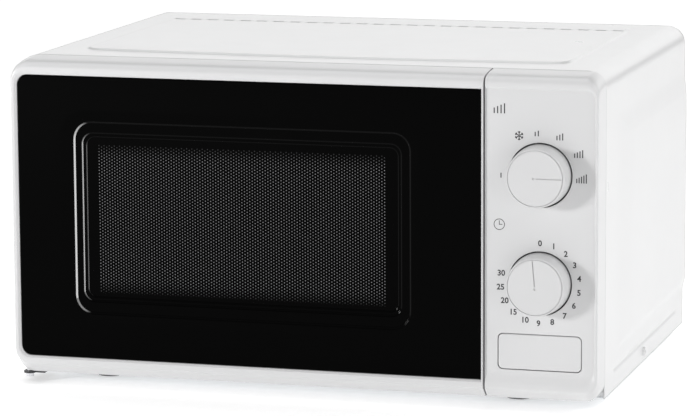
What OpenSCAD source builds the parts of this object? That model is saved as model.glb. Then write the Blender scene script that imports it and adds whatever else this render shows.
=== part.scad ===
// Countertop microwave oven with a side-hung door, a push button and two dials.
// Units are millimetres. +X is to the right, +Y to the rear and +Z up.
// The origin is on the floor, under the middle of the oven's outline.
// Inside the modules y = 0 is the front of the door glass; at_origin() moves it.

/* [Body] */
// Width over the cabinet's flat side walls
body_w = 450; // [430:1:540]
// Height from the floor to the cabinet's top
body_h = 250; // [240:1:320]
// Depth from the door glass to the cabinet's rear edge
body_d = 324; // [300:1:420]
// Height of the feet
foot_h = 9; // [7:0.5:15]
// Diameter of a foot
foot_d = 22; // [16:1:30]
// Sheet thickness of the cabinet and its plates
sheet = 1; // [0.8:0.1:1.5]
// Outside radius along the cabinet's top edges
top_r = 14; // [8:1:20]
// How far the cabinet's side walls reach below the base plate
hem = 0.5; // [0:0.1:2]
// How far the raised side panels stand out
side_raise = 1.8; // [1:0.1:3]
// How far the raised top panel stands up
top_raise = 1.2; // [0.8:0.1:3]

/* [Front] */
// Depth of the plastic front ahead of the cabinet
front_d = 25; // [23:0.5:34]
// Gap between the plastic front and the cabinet
seam = 0.8; // [0.5:0.1:2]
// How far the plastic rims stand proud of the glass
rim_proud = 1.2; // [0.5:0.1:3]
// Height of the glass's lower edge above the floor
glass_low = 23.5; // [22:0.5:30]
// Distance from the glass's upper edge to the top of the oven
glass_drop = 12.5; // [11:0.5:20]
// Wall thickness of the plastic mouldings
wall = 2.5; // [2:0.1:3.5]
// Width of the control panel
panel_w = 83.4; // [78:0.2:110]
// Gap between the door and the control panel
door_gap = 2.4; // [1.5:0.1:4]
// Corner radius of the door as seen from the front
door_r = 12; // [8:1:16]
// Corner radius of the control panel as seen from the front
panel_r = 11; // [8:1:16]

/* [Door] */
// Width of the door frame's rim left of the glass
door_rim = 5; // [3:0.5:8]
// Thickness of the door glass
glass_t = 3; // [2:0.1:4]
// Distance of the hinge axis from the cabinet's left side
hinge_in = 6.4; // [5:0.1:9]
// Distance of the hinge axis behind the glass
hinge_back = 12; // [10:0.5:14]
// Radius of the hinge pins
pin_r = 2.15; // [1.5:0.05:3]
// Width of the perforated part of the door screen
mesh_w = 222; // [150:1:260]
// Height of the perforated part of the door screen
mesh_h = 110; // [80:1:150]
// Thickness of the hook bar
hook_t = 4; // [3:0.5:5]
// Distance between the two hooks
hook_pitch = 100; // [80:1:120]

/* [Cavity] */
// Distance from the cabinet's left side to the oven cavity
hinge_margin = 26; // [24:1:40]
// Width kept for the parts beside the cavity
side_space = 118; // [116:1:140]
// Height kept for the turntable motor under the cavity
under_space = 18; // [17:1:30]
// Height kept above the cavity
over_space = 27; // [20:1:40]
// Depth kept behind the cavity
rear_space = 9; // [6:1:30]
// Sheet thickness of the cavity
liner = 0.8; // [0.6:0.1:1.2]
// Radius of the cavity's long corners
cavity_r = 10; // [6:1:16]

/* [Turntable] */
// Room around the glass tray
tray_room = 20; // [12:1:40]
// Thickness of the glass tray
tray_t = 4.5; // [3.5:0.1:6]
// Height of the glass tray's rim
tray_rim_h = 13; // [10:0.5:18]
// Radius of the circle that the roller wheels run on
roller_track_r = 78; // [60:1:85]
// Radius of a roller wheel
roller_r = 7; // [6:0.5:9]

/* [Controls] */
// Radius of a knob at its base
knob_r = 22.7; // [18:0.1:24]
// Radius of a knob at its front
knob_front_r = 21.4; // [16:0.1:23]
// How far a knob stands out from the glass
knob_h = 17; // [12:0.5:22]
// Gap around a knob's base
knob_gap = 1; // [0.5:0.1:2]
// Width of the door button
button_w = 61.8; // [45:0.2:64]
// Height of the door button
button_h = 26; // [18:0.2:30]
// Gap around the door button
button_gap = 0.5; // [0.3:0.1:1]
// How far the door button goes in
button_travel = 5; // [3:0.5:6]
// How far the button lifts the hooks
hook_lift = 4; // [3:0.1:5]

/* [Inside] */
// Radius of the cooling fan's blades
fan_r = 46; // [40:1:50]
// Height of the magnetron's frame
magnetron_h = 84; // [76:1:92]
// Height of the transformer's core
transformer_h = 62; // [50:1:68]

/* [Fits] */
// Radial clearance of a shaft or pin that turns
run_fit = 0.05; // [0.02:0.01:0.1]
// Gap between parts that pass each other
pass_gap = 0.4; // [0.3:0.05:1]
// Gap between parts that lie side by side
lie_gap = 0.2; // [0.1:0.05:0.5]

/* [Hidden] */
$fn = 64;
eps = 0.01;
cut = 1;               // how far a cutting shape runs past what it cuts
screw_head_h = 2.2;    // height of the screw heads behind the rear edge

// Overall outline
half_w = body_w / 2;
base_z = foot_h;
base_top = base_z + sheet;
top_in = body_h - sheet;
rear_y = body_d + screw_head_h;
mid_y = (rear_y - knob_h) / 2;

// Front
door_back = front_d - seam;
front_top = body_h - 1.1;
front_low = base_z + hem;
glass_top = body_h - glass_drop;
panel_x0 = half_w - panel_w;
door_x1 = panel_x0 - door_gap;
glass_x0 = -half_w + door_rim;
face_edge = 2.7;       // the panel's flat face ends this far from the oven's side
face_r = 6;            // radius at the face's upper and lower outer corners
hinge_x = -half_w + hinge_in;
hinge_y = hinge_back;
swing_r = door_back - hinge_back;

// Plates and cavity
plate_y0 = front_d + 0.6;
plate_y1 = plate_y0 + sheet;
cavity_x0 = -half_w + hinge_margin;
cavity_x1 = half_w - side_space;
cavity_z0 = base_z + under_space;
cavity_z1 = body_h - over_space;
rear_panel_y0 = body_d - sheet - lie_gap - sheet;
cavity_y0 = plate_y1;
cavity_y1 = rear_panel_y0 - rear_space - liner;
cavity_cx = (cavity_x0 + cavity_x1) / 2;
cavity_cy = (cavity_y0 + cavity_y1) / 2;
cavity_out = cavity_x1 + liner;
side_in = half_w - sheet;

// Turntable
tray_r = min(cavity_x1 - cavity_x0, cavity_y1 - cavity_y0) / 2 - tray_room;
track_sink = 1;        // the roller track is stamped this deep into the floor
track_half = 9;        // half the track's width
track_z = cavity_z0 - track_sink;
wheel_z = track_z + roller_r + pass_gap;
tray_z = wheel_z + roller_r + pass_gap;
axle_r = 2.2;          // stub axle of a roller wheel
wheel_t = 6;           // width of a roller wheel
motor_r = 24;          // turntable motor
motor_h = 14;

// Controls, spread over the face in fixed shares of its free height
knob_hole_r = knob_r + knob_gap;
free_h = glass_top - glass_low - button_h - 2 * button_gap - 4 * knob_hole_r;
button_z = glass_low + 0.095 * free_h + button_gap + button_h / 2;
timer_z = button_z + button_h / 2 + button_gap + 0.151 * free_h + knob_hole_r;
power_z = timer_z + 2 * knob_hole_r + 0.346 * free_h;
knob_x = half_w - 43;
cup_y = 8;             // back of the cup that a knob's base sits in
shaft_r = 3;
shaft_flat = 0.8;      // depth of the flat on a shaft
unit_y0 = plate_y1;
unit_y1 = unit_y0 + 38;
stem_r = 4;            // stem of the door button
stem_y = plate_y1 + 6.4;

// Door latch
hook_x0 = door_x1 - 8.7;
hook_x1 = hook_x0 + hook_t;
hook_z = button_z + 30;
hook_zs = [hook_z, hook_z + hook_pitch];
bar_y0 = 9;
bar_y1 = 19;
lever_y = plate_y1 + 3.9;   // axis of the release lever
hook_tip = lever_y + 13.5;  // rear end of the hooks
lever_z = hook_z - 13;
lever_r = 2.5;
cheek_x0 = hook_x0 - 6.5;
cheek_x1 = hook_x1 + 5;
cheek_t = 2;
bracket_y1 = plate_y1 + 33.4;

// Parts beside the cavity
fan_x = (cavity_out + side_in) / 2;
fan_depth = 36;
shroud_y0 = rear_panel_y0 - fan_depth;
fan_z = base_top + transformer_h + 18 + fan_r + 4;
magnetron_y = shroud_y0 - 88;
magnetron_z = base_top + transformer_h + 18 + magnetron_h / 2;
guide_d = 26;          // depth of the waveguide
magnetron_x0 = cavity_out + guide_d;
port_w = 60;           // waveguide port in the cavity wall
port_h = 30;

module at_origin() translate([0, -mid_y, 0]) children();

// A box between two corners
module block(low, high) translate(low) cube(high - low);

module rod_x(r, x0, x1) translate([x0, 0, 0]) rotate([0, 90, 0]) cylinder(r = r, h = x1 - x0);
module rod_y(r, y0, y1) translate([0, y0, 0]) rotate([-90, 0, 0]) cylinder(r = r, h = y1 - y0);
module rod_z(r, z0, z1) translate([0, 0, z0]) cylinder(r = r, h = z1 - z0);

// Extrudes an outline drawn in x and z along y
module along_y(y0, y1) translate([0, y1, 0]) rotate([90, 0, 0]) linear_extrude(y1 - y0) children();

// Extrudes an outline drawn in y and z along x
module along_x(x0, x1) translate([x0, 0, 0]) rotate([90, 0, 90]) linear_extrude(x1 - x0) children();

// Rectangle between two corners with round corners
module round_rect(low, high, r) {
  translate([low[0] + r, low[1]]) square([high[0] - low[0] - 2 * r, high[1] - low[1]]);
  translate([low[0], low[1] + r]) square([high[0] - low[0], high[1] - low[1] - 2 * r]);
  for (x = [low[0] + r, high[0] - r], z = [low[1] + r, high[1] - r]) translate([x, z]) circle(r);
}

// Outline of the cabinet from the front, moved in by inset and open downwards to low
module cabinet_outline(inset, low) {
  r = top_r - inset;
  edge = half_w - inset;
  translate([-edge, low]) square([2 * edge, body_h - top_r - low]);
  translate([-edge + r, low]) square([2 * (edge - r), body_h - inset - low]);
  for (side = [-1, 1]) translate([side * (edge - r), body_h - top_r]) circle(r);
}

// Slot along x with round ends, cut through z
module slot_x(length, width, z0, z1) {
  half = (length - width) / 2;
  block([-half, -width / 2, z0], [half, width / 2, z1]);
  for (x = [-half, half]) translate([x, 0, 0]) rod_z(width / 2, z0, z1);
}

// Screw with a pan head and a cross recess; its head stands towards +z from z = 0
module pan_screw(head_r, head_h, shank_r, shank_l) {
  difference() {
    union() {
      cylinder(r1 = head_r, r2 = head_r * 0.8, h = head_h);
      translate([0, 0, -shank_l]) cylinder(r = shank_r, h = shank_l + eps);
    }
    for (turn = [0, 90]) rotate(turn) translate([-head_r * 0.5, -0.4, head_h - 0.8]) cube([head_r, 0.8, 1]);
  }
}

// Points of a coil with its axis along z
function coil_point(angle, radius, height, turns) =
  [radius * cos(angle), radius * sin(angle), height * angle / (360 * turns)];

// Round wire wound into a coil along z
module coil(radius, height, wire_r, turns) {
  steps = 12;          // rings per turn
  sides = 6;
  count = steps * turns;
  rings = [for (i = [0:count]) let (a = i * 360 / steps) [
    for (k = [0:sides - 1]) let (b = k * 360 / sides)
      coil_point(a, radius + wire_r * cos(b), height, turns) + [0, 0, wire_r * sin(b)]
  ]];
  points = [for (ring = rings) each ring];
  sides_of = [for (i = [0:count - 1], k = [0:sides - 1]) let (a = i * sides, n = (k + 1) % sides)
    [a + k, a + sides + k, a + sides + n, a + n]];
  ends = [[for (k = [0:sides - 1]) k], [for (k = [sides - 1:-1:0]) count * sides + k]];
  polyhedron(points, concat(sides_of, ends), convexity = 10);
}

/* ---- Cabinet ---- */

side_y = [57, 122];                 // front edge of the raised side panel: foot and crest of its slope
side_low = [29, 47];                // the same for its lower edge, above the base
side_high = [38, 51];               // and for its upper edge, below the top
top_x = 36;                         // the raised top panel keeps this distance from the sides,
top_front = 56;                     // starts this far behind the glass
top_rear = 38;                      // and ends this far ahead of the rear edge
top_panel_r = 12;
vent_pitch = 14;                    // vent slots in one row along the rear of the top panel
vent_l = 9;
vent_w = 4.4;
vent_in = 18;                       // distance of the row from the panel's rear edge
rear_flange = 9;

// Raised side panel on the right, moved by dx
module side_panel(dx, rear) {
  base = [body_h - side_high[0] - base_z - side_low[0], body_h - side_high[1] - base_z - side_low[1]];
  translate([half_w + dx, 0, 0]) hull() {
    translate([-sheet, side_y[0], base_z + side_low[0]]) cube([sheet, rear - side_y[0], base[0]]);
    translate([side_raise - eps, side_y[1], base_z + side_low[1]]) cube([eps, rear - side_y[1], base[1]]);
  }
}

module side_bead() {
  bead_r = 6;
  translate([half_w + 1 - bead_r, 0, base_z + 15]) intersection() {
    rod_y(bead_r, side_y[0], body_d - 32);
    block([bead_r - 1 - sheet, 0, -bead_r], [bead_r + 1, body_d, bead_r]);
  }
}

module top_outline(grow) round_rect([-half_w + top_x - grow, top_front - grow],
  [half_w - top_x + grow, body_d - top_rear + grow], top_panel_r + grow);

module outer_cabinet() at_origin() color("whitesmoke") difference() {
  union() {
    along_y(front_d, body_d) cabinet_outline(0, base_z - hem);
    for (side = [0, 1]) mirror([side, 0, 0]) {
      side_panel(0, body_d);
      side_bead();
    }
    translate([0, 0, body_h - sheet]) linear_extrude(sheet + top_raise) top_outline(0);
  }
  along_y(front_d - cut, body_d - sheet) cabinet_outline(sheet, base_z - hem - cut);
  along_y(front_d, body_d + cut) cabinet_outline(rear_flange, base_z - hem - cut);
  for (side = [0, 1]) mirror([side, 0, 0]) side_panel(-sheet, body_d - sheet);
  translate([0, 0, body_h - sheet - cut]) linear_extrude(cut + top_raise) top_outline(-sheet);
  vents = floor((body_w - 2 * top_x - 20) / vent_pitch);
  for (i = [0:vents - 1])
    translate([(i - (vents - 1) / 2) * vent_pitch, body_d - top_rear - vent_in, 0])
      slot_x(vent_l, vent_w, body_h - sheet - cut, body_h + top_raise + cut);
  for (x = [-half_w - cut, half_w - sheet - cut]) translate([x, side_screw_y, side_screw_z])
    rod_x(screw_r, 0, sheet + 2 * cut);
  for (p = rear_screws) translate([p[0], 0, p[1]]) rod_y(screw_r, body_d - sheet - cut, body_d + cut);
}

screw_r = 1.9;
side_screw_y = 166;
side_screw_z = base_z + 7.3;
rear_screws = [
  for (side = [-1, 1], z = [base_z + 8, body_h / 2, body_h - top_r - 4]) [side * (half_w - 5), z],
  for (x = [-body_w / 5, body_w / 5]) [x, body_h - 5]
];

module cabinet_screws() at_origin() color("gainsboro") {
  for (p = rear_screws) translate([p[0], body_d, p[1]]) rotate([-90, 0, 0])
    pan_screw(3.8, screw_head_h, screw_r - lie_gap, 5);
  for (side = [0, 1]) mirror([side, 0, 0]) translate([half_w, side_screw_y, side_screw_z])
    rotate([0, 90, 0]) pan_screw(3.8, side_raise - lie_gap, screw_r - lie_gap, 5);
}

foot_x = [-half_w + 56, half_w - 71];
foot_y = [56, body_d - 50];

module base_plate() at_origin() color("silver") difference() {
  union() {
    block([-side_in + lie_gap, plate_y0, base_z], [side_in - lie_gap, rear_panel_y0, base_top]);
    for (side = [0, 1]) mirror([side, 0, 0])
      block([side_in - lie_gap - sheet, plate_y1, base_z], [side_in - lie_gap, rear_panel_y0, base_top + 12]);
  }
  for (x = foot_x, y = foot_y) translate([x, y, 0]) rod_z(foot_d / 5, base_z - cut, base_top + cut);
  for (side = [0, 1]) mirror([side, 0, 0]) translate([half_w, side_screw_y, side_screw_z])
    rod_x(screw_r, -4 * sheet, 0);
  for (i = [0:9]) translate([half_w - 66, 96 + 9 * i, 0]) slot_x(50, 3, base_z - cut, base_top + cut);
}

module feet() at_origin() color("whitesmoke") for (x = foot_x, y = foot_y) translate([x, y, 0]) {
  cylinder(r1 = foot_d / 2 - 1, r2 = foot_d / 2, h = base_z);
  rod_z(foot_d / 5 - lie_gap, base_z - eps, base_top + 1);
}

gland_x = half_w - 26;
gland_z = base_z + 22;

module rear_panel() at_origin() color("silver") difference() {
  along_y(rear_panel_y0, rear_panel_y0 + sheet) cabinet_outline(sheet + lie_gap, base_z);
  for (p = rear_screws) translate([p[0], 0, p[1]]) rod_y(screw_r, rear_panel_y0 - cut, body_d);
  translate([gland_x, 0, gland_z]) rod_y(8, rear_panel_y0 - cut, body_d);
  for (row = [-4:4], col = [-4:4]) if (norm([row, col]) < 4.6)
    translate([fan_x + col * 9, 0, fan_z + row * 9]) rod_y(3, rear_panel_y0 - cut, body_d);
  for (i = [0:15]) translate([cavity_x0 + 30 + i * 11, 0, 0])
    block([0, rear_panel_y0 - cut, cavity_z1 - 22], [4, body_d, cavity_z1 - 6]);
}

module cord_gland() at_origin() color("dimgray") translate([gland_x, 0, gland_z]) difference() {
  union() {
    rod_y(11, rear_panel_y0 + sheet, rear_panel_y0 + sheet + 3);
    rod_y(8 - lie_gap, rear_panel_y0 - 4, rear_panel_y0 + sheet + eps);
    difference() {
      rod_y(10, rear_panel_y0 - 6, rear_panel_y0 - lie_gap);
      rod_y(8 - lie_gap, rear_panel_y0 - 4, rear_panel_y0);
    }
  }
  rod_y(3.6, rear_panel_y0 - 6 - cut, rear_y + cut);
}

window_x0 = panel_x0 + 7;           // opening behind the control panel
window_x1 = half_w - 9;
slot_low = 9;                       // a hook's slot reaches this far below its middle
slot_high = 4 + hook_lift + 1.5;
arm_z = body_h - 18;                // upper hinge arm
arm_t = 1.5;
arm_half = 4;

module front_plate() at_origin() color("silver") difference() {
  along_y(plate_y0, plate_y1) difference() {
    cabinet_outline(sheet + lie_gap, base_top + lie_gap);
    round_rect([cavity_x0, cavity_z0], [cavity_x1, cavity_z1], cavity_r);
    round_rect([window_x0, glass_low - 2], [window_x1, glass_top - 2], 4);
    for (z = hook_zs) translate([hook_x0 - 1.5, z - slot_low])
      square([hook_t + 4, slot_low + slot_high]);
    translate([hinge_x - arm_half - lie_gap, arm_z - lie_gap])
      square([2 * (arm_half + lie_gap), arm_t + 2 * lie_gap]);
  }
}

/* ---- Oven cavity ---- */

lamp_y = cavity_y0 + 62;
lamp_z = cavity_z1 - 30;
hub_r = 8;                          // hole in the cavity floor for the coupler

// Perforated patch in the cavity's right wall
module vent_patch(y, z, rows, cols) for (row = [0:rows - 1], col = [0:cols - 1])
  translate([0, y + (col - (cols - 1) / 2) * 6, z + (row - (rows - 1) / 2) * 6])
    rod_x(2, cavity_x1 - cut, cavity_out + cut);

module cavity_box() at_origin() color("lightgray") difference() {
  union() {
    difference() {
      along_y(cavity_y0, cavity_y1 + liner)
        round_rect([cavity_x0 - liner, cavity_z0 - liner], [cavity_x1 + liner, cavity_z1 + liner],
          cavity_r + liner);
      along_y(cavity_y0 - cut, cavity_y1)
        round_rect([cavity_x0, cavity_z0], [cavity_x1, cavity_z1], cavity_r);
      translate([cavity_cx, cavity_cy, cavity_z0 - liner - cut]) difference() {
        cylinder(r = roller_track_r + track_half, h = liner + 2 * cut);
        translate([0, 0, -cut]) cylinder(r = roller_track_r - track_half, h = liner + 4 * cut);
      }
    }
    translate([cavity_cx, cavity_cy, 0]) rotate_extrude($fn = 96) difference() {
      translate([roller_track_r - track_half - liner, track_z - liner])
        square([2 * (track_half + liner), track_sink + liner]);
      translate([roller_track_r - track_half, track_z]) square([2 * track_half, track_sink + cut]);
    }
  }
  translate([cavity_cx, cavity_cy, 0]) rod_z(hub_r, cavity_z0 - 3 * liner, cavity_z0 + cut);
  block([cavity_x1 - cut, magnetron_y - port_w / 2, magnetron_z - port_h / 2],
    [cavity_out + cut, magnetron_y + port_w / 2, magnetron_z + port_h / 2]);
  vent_patch(lamp_y, lamp_z, 4, 5);
  vent_patch(magnetron_y + 6, cavity_z1 - 20, 3, 8);
}

module waveguide() at_origin() color("silver") difference() {
  union() {
    block([cavity_out, magnetron_y - port_w / 2 - 1, magnetron_z - magnetron_h / 2 + 6],
      [magnetron_x0, magnetron_y + port_w / 2 + 1, magnetron_z + magnetron_h / 2 - 6]);
    block([cavity_out, magnetron_y - port_w / 2 - 10, magnetron_z - port_h / 2],
      [cavity_out + 1, magnetron_y + port_w / 2 + 10, magnetron_z + port_h / 2]);
  }
  block([cavity_out - cut, magnetron_y - port_w / 2, magnetron_z - magnetron_h / 2 + 7],
    [magnetron_x0 - 1, magnetron_y + port_w / 2, magnetron_z + magnetron_h / 2 - 7]);
  translate([0, magnetron_y, magnetron_z]) rod_x(11, magnetron_x0 - 1 - cut, magnetron_x0 + cut);
}

module waveguide_cover() at_origin() color("burlywood")
  block([cavity_x1 - 0.5, magnetron_y - port_w / 2 - 6, magnetron_z - port_h / 2 - 6],
    [cavity_x1, magnetron_y + port_w / 2 + 6, magnetron_z + port_h / 2 + 6]);

module lamp_holder() at_origin() color("ivory") translate([cavity_out, lamp_y, lamp_z]) difference() {
  block([0, -19, -15], [34, 19, 15]);
  block([-cut, -17, -13], [26, 17, 13]);
  rod_x(7, 24, 32);
}

module lamp_bulb() at_origin() color("white", 0.6) translate([cavity_out, lamp_y, lamp_z]) {
  rod_x(7 - lie_gap, 20, 31.5);
  rotate([0, 90, 0]) translate([0, 0, 13]) sphere(10);
}

/* ---- Turntable ---- */

module turntable_motor() at_origin() color("darkgray") translate([cavity_cx, cavity_cy, 0]) {
  rod_z(motor_r, base_top, base_top + motor_h);
  rod_z(3.5, base_top + motor_h - eps, base_top + motor_h + 3);
  for (side = [-1, 1]) translate([side * (motor_r + 2), 0, base_top + motor_h - 2]) linear_extrude(2)
    square([10, 12], center = true);
}

coupler_z = base_top + motor_h + 3 + lie_gap;
lug_r = 15;
module turntable_coupler() at_origin() color("white") translate([cavity_cx, cavity_cy, 0]) {
  rod_z(hub_r - 1, coupler_z, cavity_z0 + 3);
  rod_z(10, cavity_z0 + 2, wheel_z);
  for (turn = [0, 120, 240]) rotate(turn) translate([0, -3, wheel_z - 5]) cube([lug_r, 6, 5 + roller_r]);
}

module glass_tray() at_origin() color("lightcyan", 0.5) translate([cavity_cx, cavity_cy, tray_z]) {
  rotate_extrude($fn = 96) polygon([
    [0, 0], [tray_r - 16, 0], [tray_r - 3, tray_rim_h - 4], [tray_r, tray_rim_h - 2], [tray_r, tray_rim_h],
    [tray_r - 4, tray_rim_h], [tray_r - 18, tray_t], [0, tray_t]
  ]);
  for (turn = [60, 180, 300]) rotate(turn) translate([9, -4, -5]) cube([8, 8, 5 + eps]);
}

ring_r = roller_track_r - wheel_t / 2 - 1.5;   // outer radius of the roller ring
module roller_ring() at_origin() color("white") translate([cavity_cx, cavity_cy, 0]) {
  rotate_extrude($fn = 96) translate([ring_r - 5, wheel_z - 3.5]) square([5, 7]);
  for (turn = [0, 120, 240]) rotate(turn) {
    block([24, -4, wheel_z - 2], [ring_r - 4, 4, wheel_z + 2]);
    translate([0, 0, wheel_z]) rod_x(axle_r, ring_r - 1, ring_r + 1.5 + wheel_t + 2);
  }
  difference() {
    rod_z(26, wheel_z - 2, wheel_z + 2);
    rod_z(20, wheel_z - 2 - cut, wheel_z + 2 + cut);
  }
}

// One roller wheel on the stub axle at this angle round the turntable
module roller_wheel(turn) at_origin() color("white") translate([cavity_cx, cavity_cy, wheel_z])
  rotate(turn) difference() {
    rod_x(roller_r, ring_r + 1.5, ring_r + 1.5 + wheel_t);
    rod_x(axle_r + run_fit, ring_r, ring_r + 3 + wheel_t);
  }
module roller_wheel_1() roller_wheel(0);
module roller_wheel_2() roller_wheel(120);
module roller_wheel_3() roller_wheel(240);

/* ---- Microwave source and high-voltage parts ---- */

tube_r = 16;
can_half = 38;                       // half the magnetron frame's depth
magnetron_x1 = magnetron_x0 + 52;

module magnetron_frame() at_origin() color("lightsteelblue") translate([0, magnetron_y, magnetron_z])
  difference() {
    block([magnetron_x0, -can_half, -magnetron_h / 2], [magnetron_x1, can_half, magnetron_h / 2]);
    block([magnetron_x0 + 2, -can_half - cut, -magnetron_h / 2 + 2],
      [magnetron_x1 - 2, can_half + cut, magnetron_h / 2 - 2]);
    rod_x(tube_r, magnetron_x0 - cut, magnetron_x1 + cut);
  }

module magnetron_fins() at_origin() color("silver") for (i = [0:5]) difference() {
  x = magnetron_x0 + 9 + 6 * i;
  block([x, magnetron_y - can_half + 2, magnetron_z - magnetron_h / 2 + 3],
    [x + 0.8, magnetron_y + can_half - 2, magnetron_z + magnetron_h / 2 - 3]);
  translate([0, magnetron_y, magnetron_z]) rod_x(tube_r, x - cut, x + cut + 1);
}

module magnetron_tube() at_origin() color("goldenrod") translate([0, magnetron_y, magnetron_z]) {
  rod_x(tube_r, magnetron_x0 + 3, magnetron_x1 - 3);
  rod_x(9, magnetron_x0 - 3, magnetron_x0 + 4);
  rod_x(7, magnetron_x0 - guide_d + 6, magnetron_x0 - 2);
}

module magnetron_filter_box() at_origin() color("silver") translate([0, magnetron_y, magnetron_z])
  difference() {
    block([magnetron_x1, -30, -34], [side_in - 6, 30, 34]);
    block([magnetron_x1 + 1, -29, -33], [side_in - 7, 29, 33]);
  }

transformer_y = shroud_y0 - 44;
transformer_x = cavity_out + 60;
core_w = 82;
core_d = 52;
leg = 14;                            // thickness of the core's outer limbs
module transformer_core() at_origin() color("dimgray") translate([transformer_x, transformer_y, base_top])
  difference() {
    block([-core_w / 2, -core_d / 2, 0], [core_w / 2, core_d / 2, transformer_h]);
    for (side = [0, 1]) mirror([side, 0, 0])
      block([leg, -core_d / 2 - cut, leg], [core_w / 2 - leg, core_d / 2 + cut, transformer_h - leg]);
  }

module transformer_windings() at_origin() color("peru") translate([transformer_x, transformer_y, base_top]) {
  half_h = (transformer_h - 2 * leg) / 2;
  for (k = [0, 1]) translate([0, 0, leg + k * half_h + 0.5]) difference() {
    block([-core_w / 2 + leg + 0.5, -core_d / 2 - 11, 0], [core_w / 2 - leg - 0.5, core_d / 2 + 11, half_h - 1]);
    block([-leg - 0.3, -core_d / 2 - 0.3, -cut], [leg + 0.3, core_d / 2 + 0.3, half_h]);
  }
}

capacitor_y = transformer_y - 92;
module capacitor() at_origin() color("silver") translate([transformer_x, capacitor_y, base_top]) {
  linear_extrude(50) round_rect([-43, -16], [43, 16], 15.9);
  for (x = [-14, 14]) translate([x, 0, 0]) rod_z(5, 50 - eps, 58);
}

module capacitor_clamp() at_origin() color("darkgray") translate([transformer_x, capacitor_y, base_top])
  difference() {
    linear_extrude(14) union() {
      round_rect([-45, -18], [45, 18], 17.9);
      translate([-54, -5]) square([108, 10]);
    }
    translate([0, 0, -cut]) linear_extrude(16) round_rect([-43, -16], [43, 16], 15.9);
    translate([0, 0, 2]) for (x = [-60, 45.1]) translate([x, -6, 0]) cube([15, 12, 14]);
  }

module high_voltage_diode() at_origin() color("black") translate([transformer_x, capacitor_y + 32, base_top]) {
  block([-12, -4, 0], [12, 4, 8]);
  rod_z(3, 8 - eps, 12);
}

module thermal_cutouts() at_origin() color("black") {
  translate([magnetron_x0 + 20, magnetron_y, magnetron_z + magnetron_h / 2]) rod_z(8, 0, 9);
  translate([cavity_out, cavity_cy - 30, cavity_z1 - 60]) rod_x(8, 0, 9);
}

module noise_filter_board() at_origin() color("darkgreen") {
  y0 = unit_y1 + 12;
  block([cavity_out + 12, y0, body_h - 34], [side_in - 12, y0 + 48, body_h - 32.4]);
  translate([cavity_out + 50, y0 + 24, body_h - 46]) rod_z(11, 0, 12 + eps);
  block([side_in - 34, y0 + 14, body_h - 46], [side_in - 18, y0 + 30, body_h - 34 + eps]);
  for (y = [y0 + 4, y0 + 44]) translate([side_in - 18, y, 0]) rod_z(2, body_h - 32.4 - eps, body_h - sheet - lie_gap);
}

module mains_fuse() at_origin() color("lightgray") {
  y0 = unit_y1 + 16;
  translate([cavity_out + 24, 0, body_h - 38]) {
    rod_y(3, y0, y0 + 20);
    for (y = [y0, y0 + 15]) block([-1.5, y, 2], [1.5, y + 5, 4]);
  }
}

/* ---- Cooling fan ---- */

fan_y0 = shroud_y0 + 6;
fan_y1 = fan_y0 + 20;
fan_shaft_r = 2;
motor_block = 30;
shroud_half = fan_r + 5;
module fan_shroud() at_origin() color("darkgray") difference() {
  block([fan_x - shroud_half, shroud_y0, fan_z - shroud_half], [fan_x + shroud_half, rear_panel_y0, fan_z + shroud_half]);
  translate([fan_x, 0, fan_z]) rod_y(fan_r + 3, shroud_y0 + 3, rear_panel_y0 + cut);
  translate([fan_x, 0, fan_z]) rod_y(fan_r - 3, shroud_y0 - cut, shroud_y0 + 3 + cut);
}

module fan_motor() at_origin() color("slategray") translate([fan_x, 0, fan_z]) difference() {
  union() {
    block([-motor_block, shroud_y0 - 20, -motor_block], [motor_block, shroud_y0 - 4, 22]);
    for (x = [-fan_r + 2, fan_r - 8]) block([x, shroud_y0 - 10, -5], [x + 6, shroud_y0, 5]);
    block([-fan_r + 2, shroud_y0 - 10, -5], [fan_r - 2, shroud_y0 - 6, 5]);
  }
  rod_y(13, shroud_y0 - 20 - cut, shroud_y0 - 5);
  rod_y(fan_shaft_r + run_fit, shroud_y0 - 6, shroud_y0);
}

module fan_shaft() at_origin() color("silver") translate([fan_x, 0, fan_z]) {
  rod_y(12.5, shroud_y0 - 19, shroud_y0 - 6);
  rod_y(fan_shaft_r, shroud_y0 - 6 - eps, fan_y1 - 4);
}

module fan_blades() at_origin() color("darkorange") translate([fan_x, 0, fan_z]) difference() {
  union() {
    rod_y(13, fan_y0, fan_y1);
    for (i = [0:4]) rotate([0, 72 * i, 0]) intersection() {
      translate([0, (fan_y0 + fan_y1) / 2, 0]) rotate([0, 0, 32])
        translate([-12, -1, 8]) cube([24, 2, fan_r]);
      rod_y(fan_r, fan_y0, fan_y1);
    }
  }
  rod_y(fan_shaft_r, fan_y0 - cut, fan_y1 - 4);
}

/* ---- Door latch in the oven ---- */

module interlock_bracket() at_origin() color("ivory") difference() {
  low = lever_z - 8;
  high = hook_zs[1] + 16;
  union() {
    block([cheek_x0, plate_y1, low], [cheek_x1, plate_y1 + 1.5, high]);
    block([cheek_x0, plate_y1, low], [cheek_x0 + cheek_t, bracket_y1, high]);
    block([cheek_x1 - cheek_t, plate_y1, low], [cheek_x1, bracket_y1, high]);
    block([cheek_x0, bracket_y1 - 2, low], [cheek_x1, bracket_y1, high]);
    for (z = [hook_z + 18, hook_z + hook_pitch / 2 + 10])
      block([cheek_x0, plate_y1, z], [cheek_x1, bracket_y1, z + 2]);
  }
  for (z = hook_zs) block([hook_x0 - 1.5, plate_y1 - cut, z - slot_low],
    [hook_x1 + 2.5, plate_y1 + 1.5 + cut, z + slot_high]);
  block([cheek_x0 + cheek_t, plate_y1 - cut, low + 1], [cheek_x1 - cheek_t, plate_y1 + 1.5 + cut, lever_z + 4]);
  translate([0, lever_y, lever_z]) rod_x(lever_r + run_fit, cheek_x0 - cut, cheek_x1 + cut);
}

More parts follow.
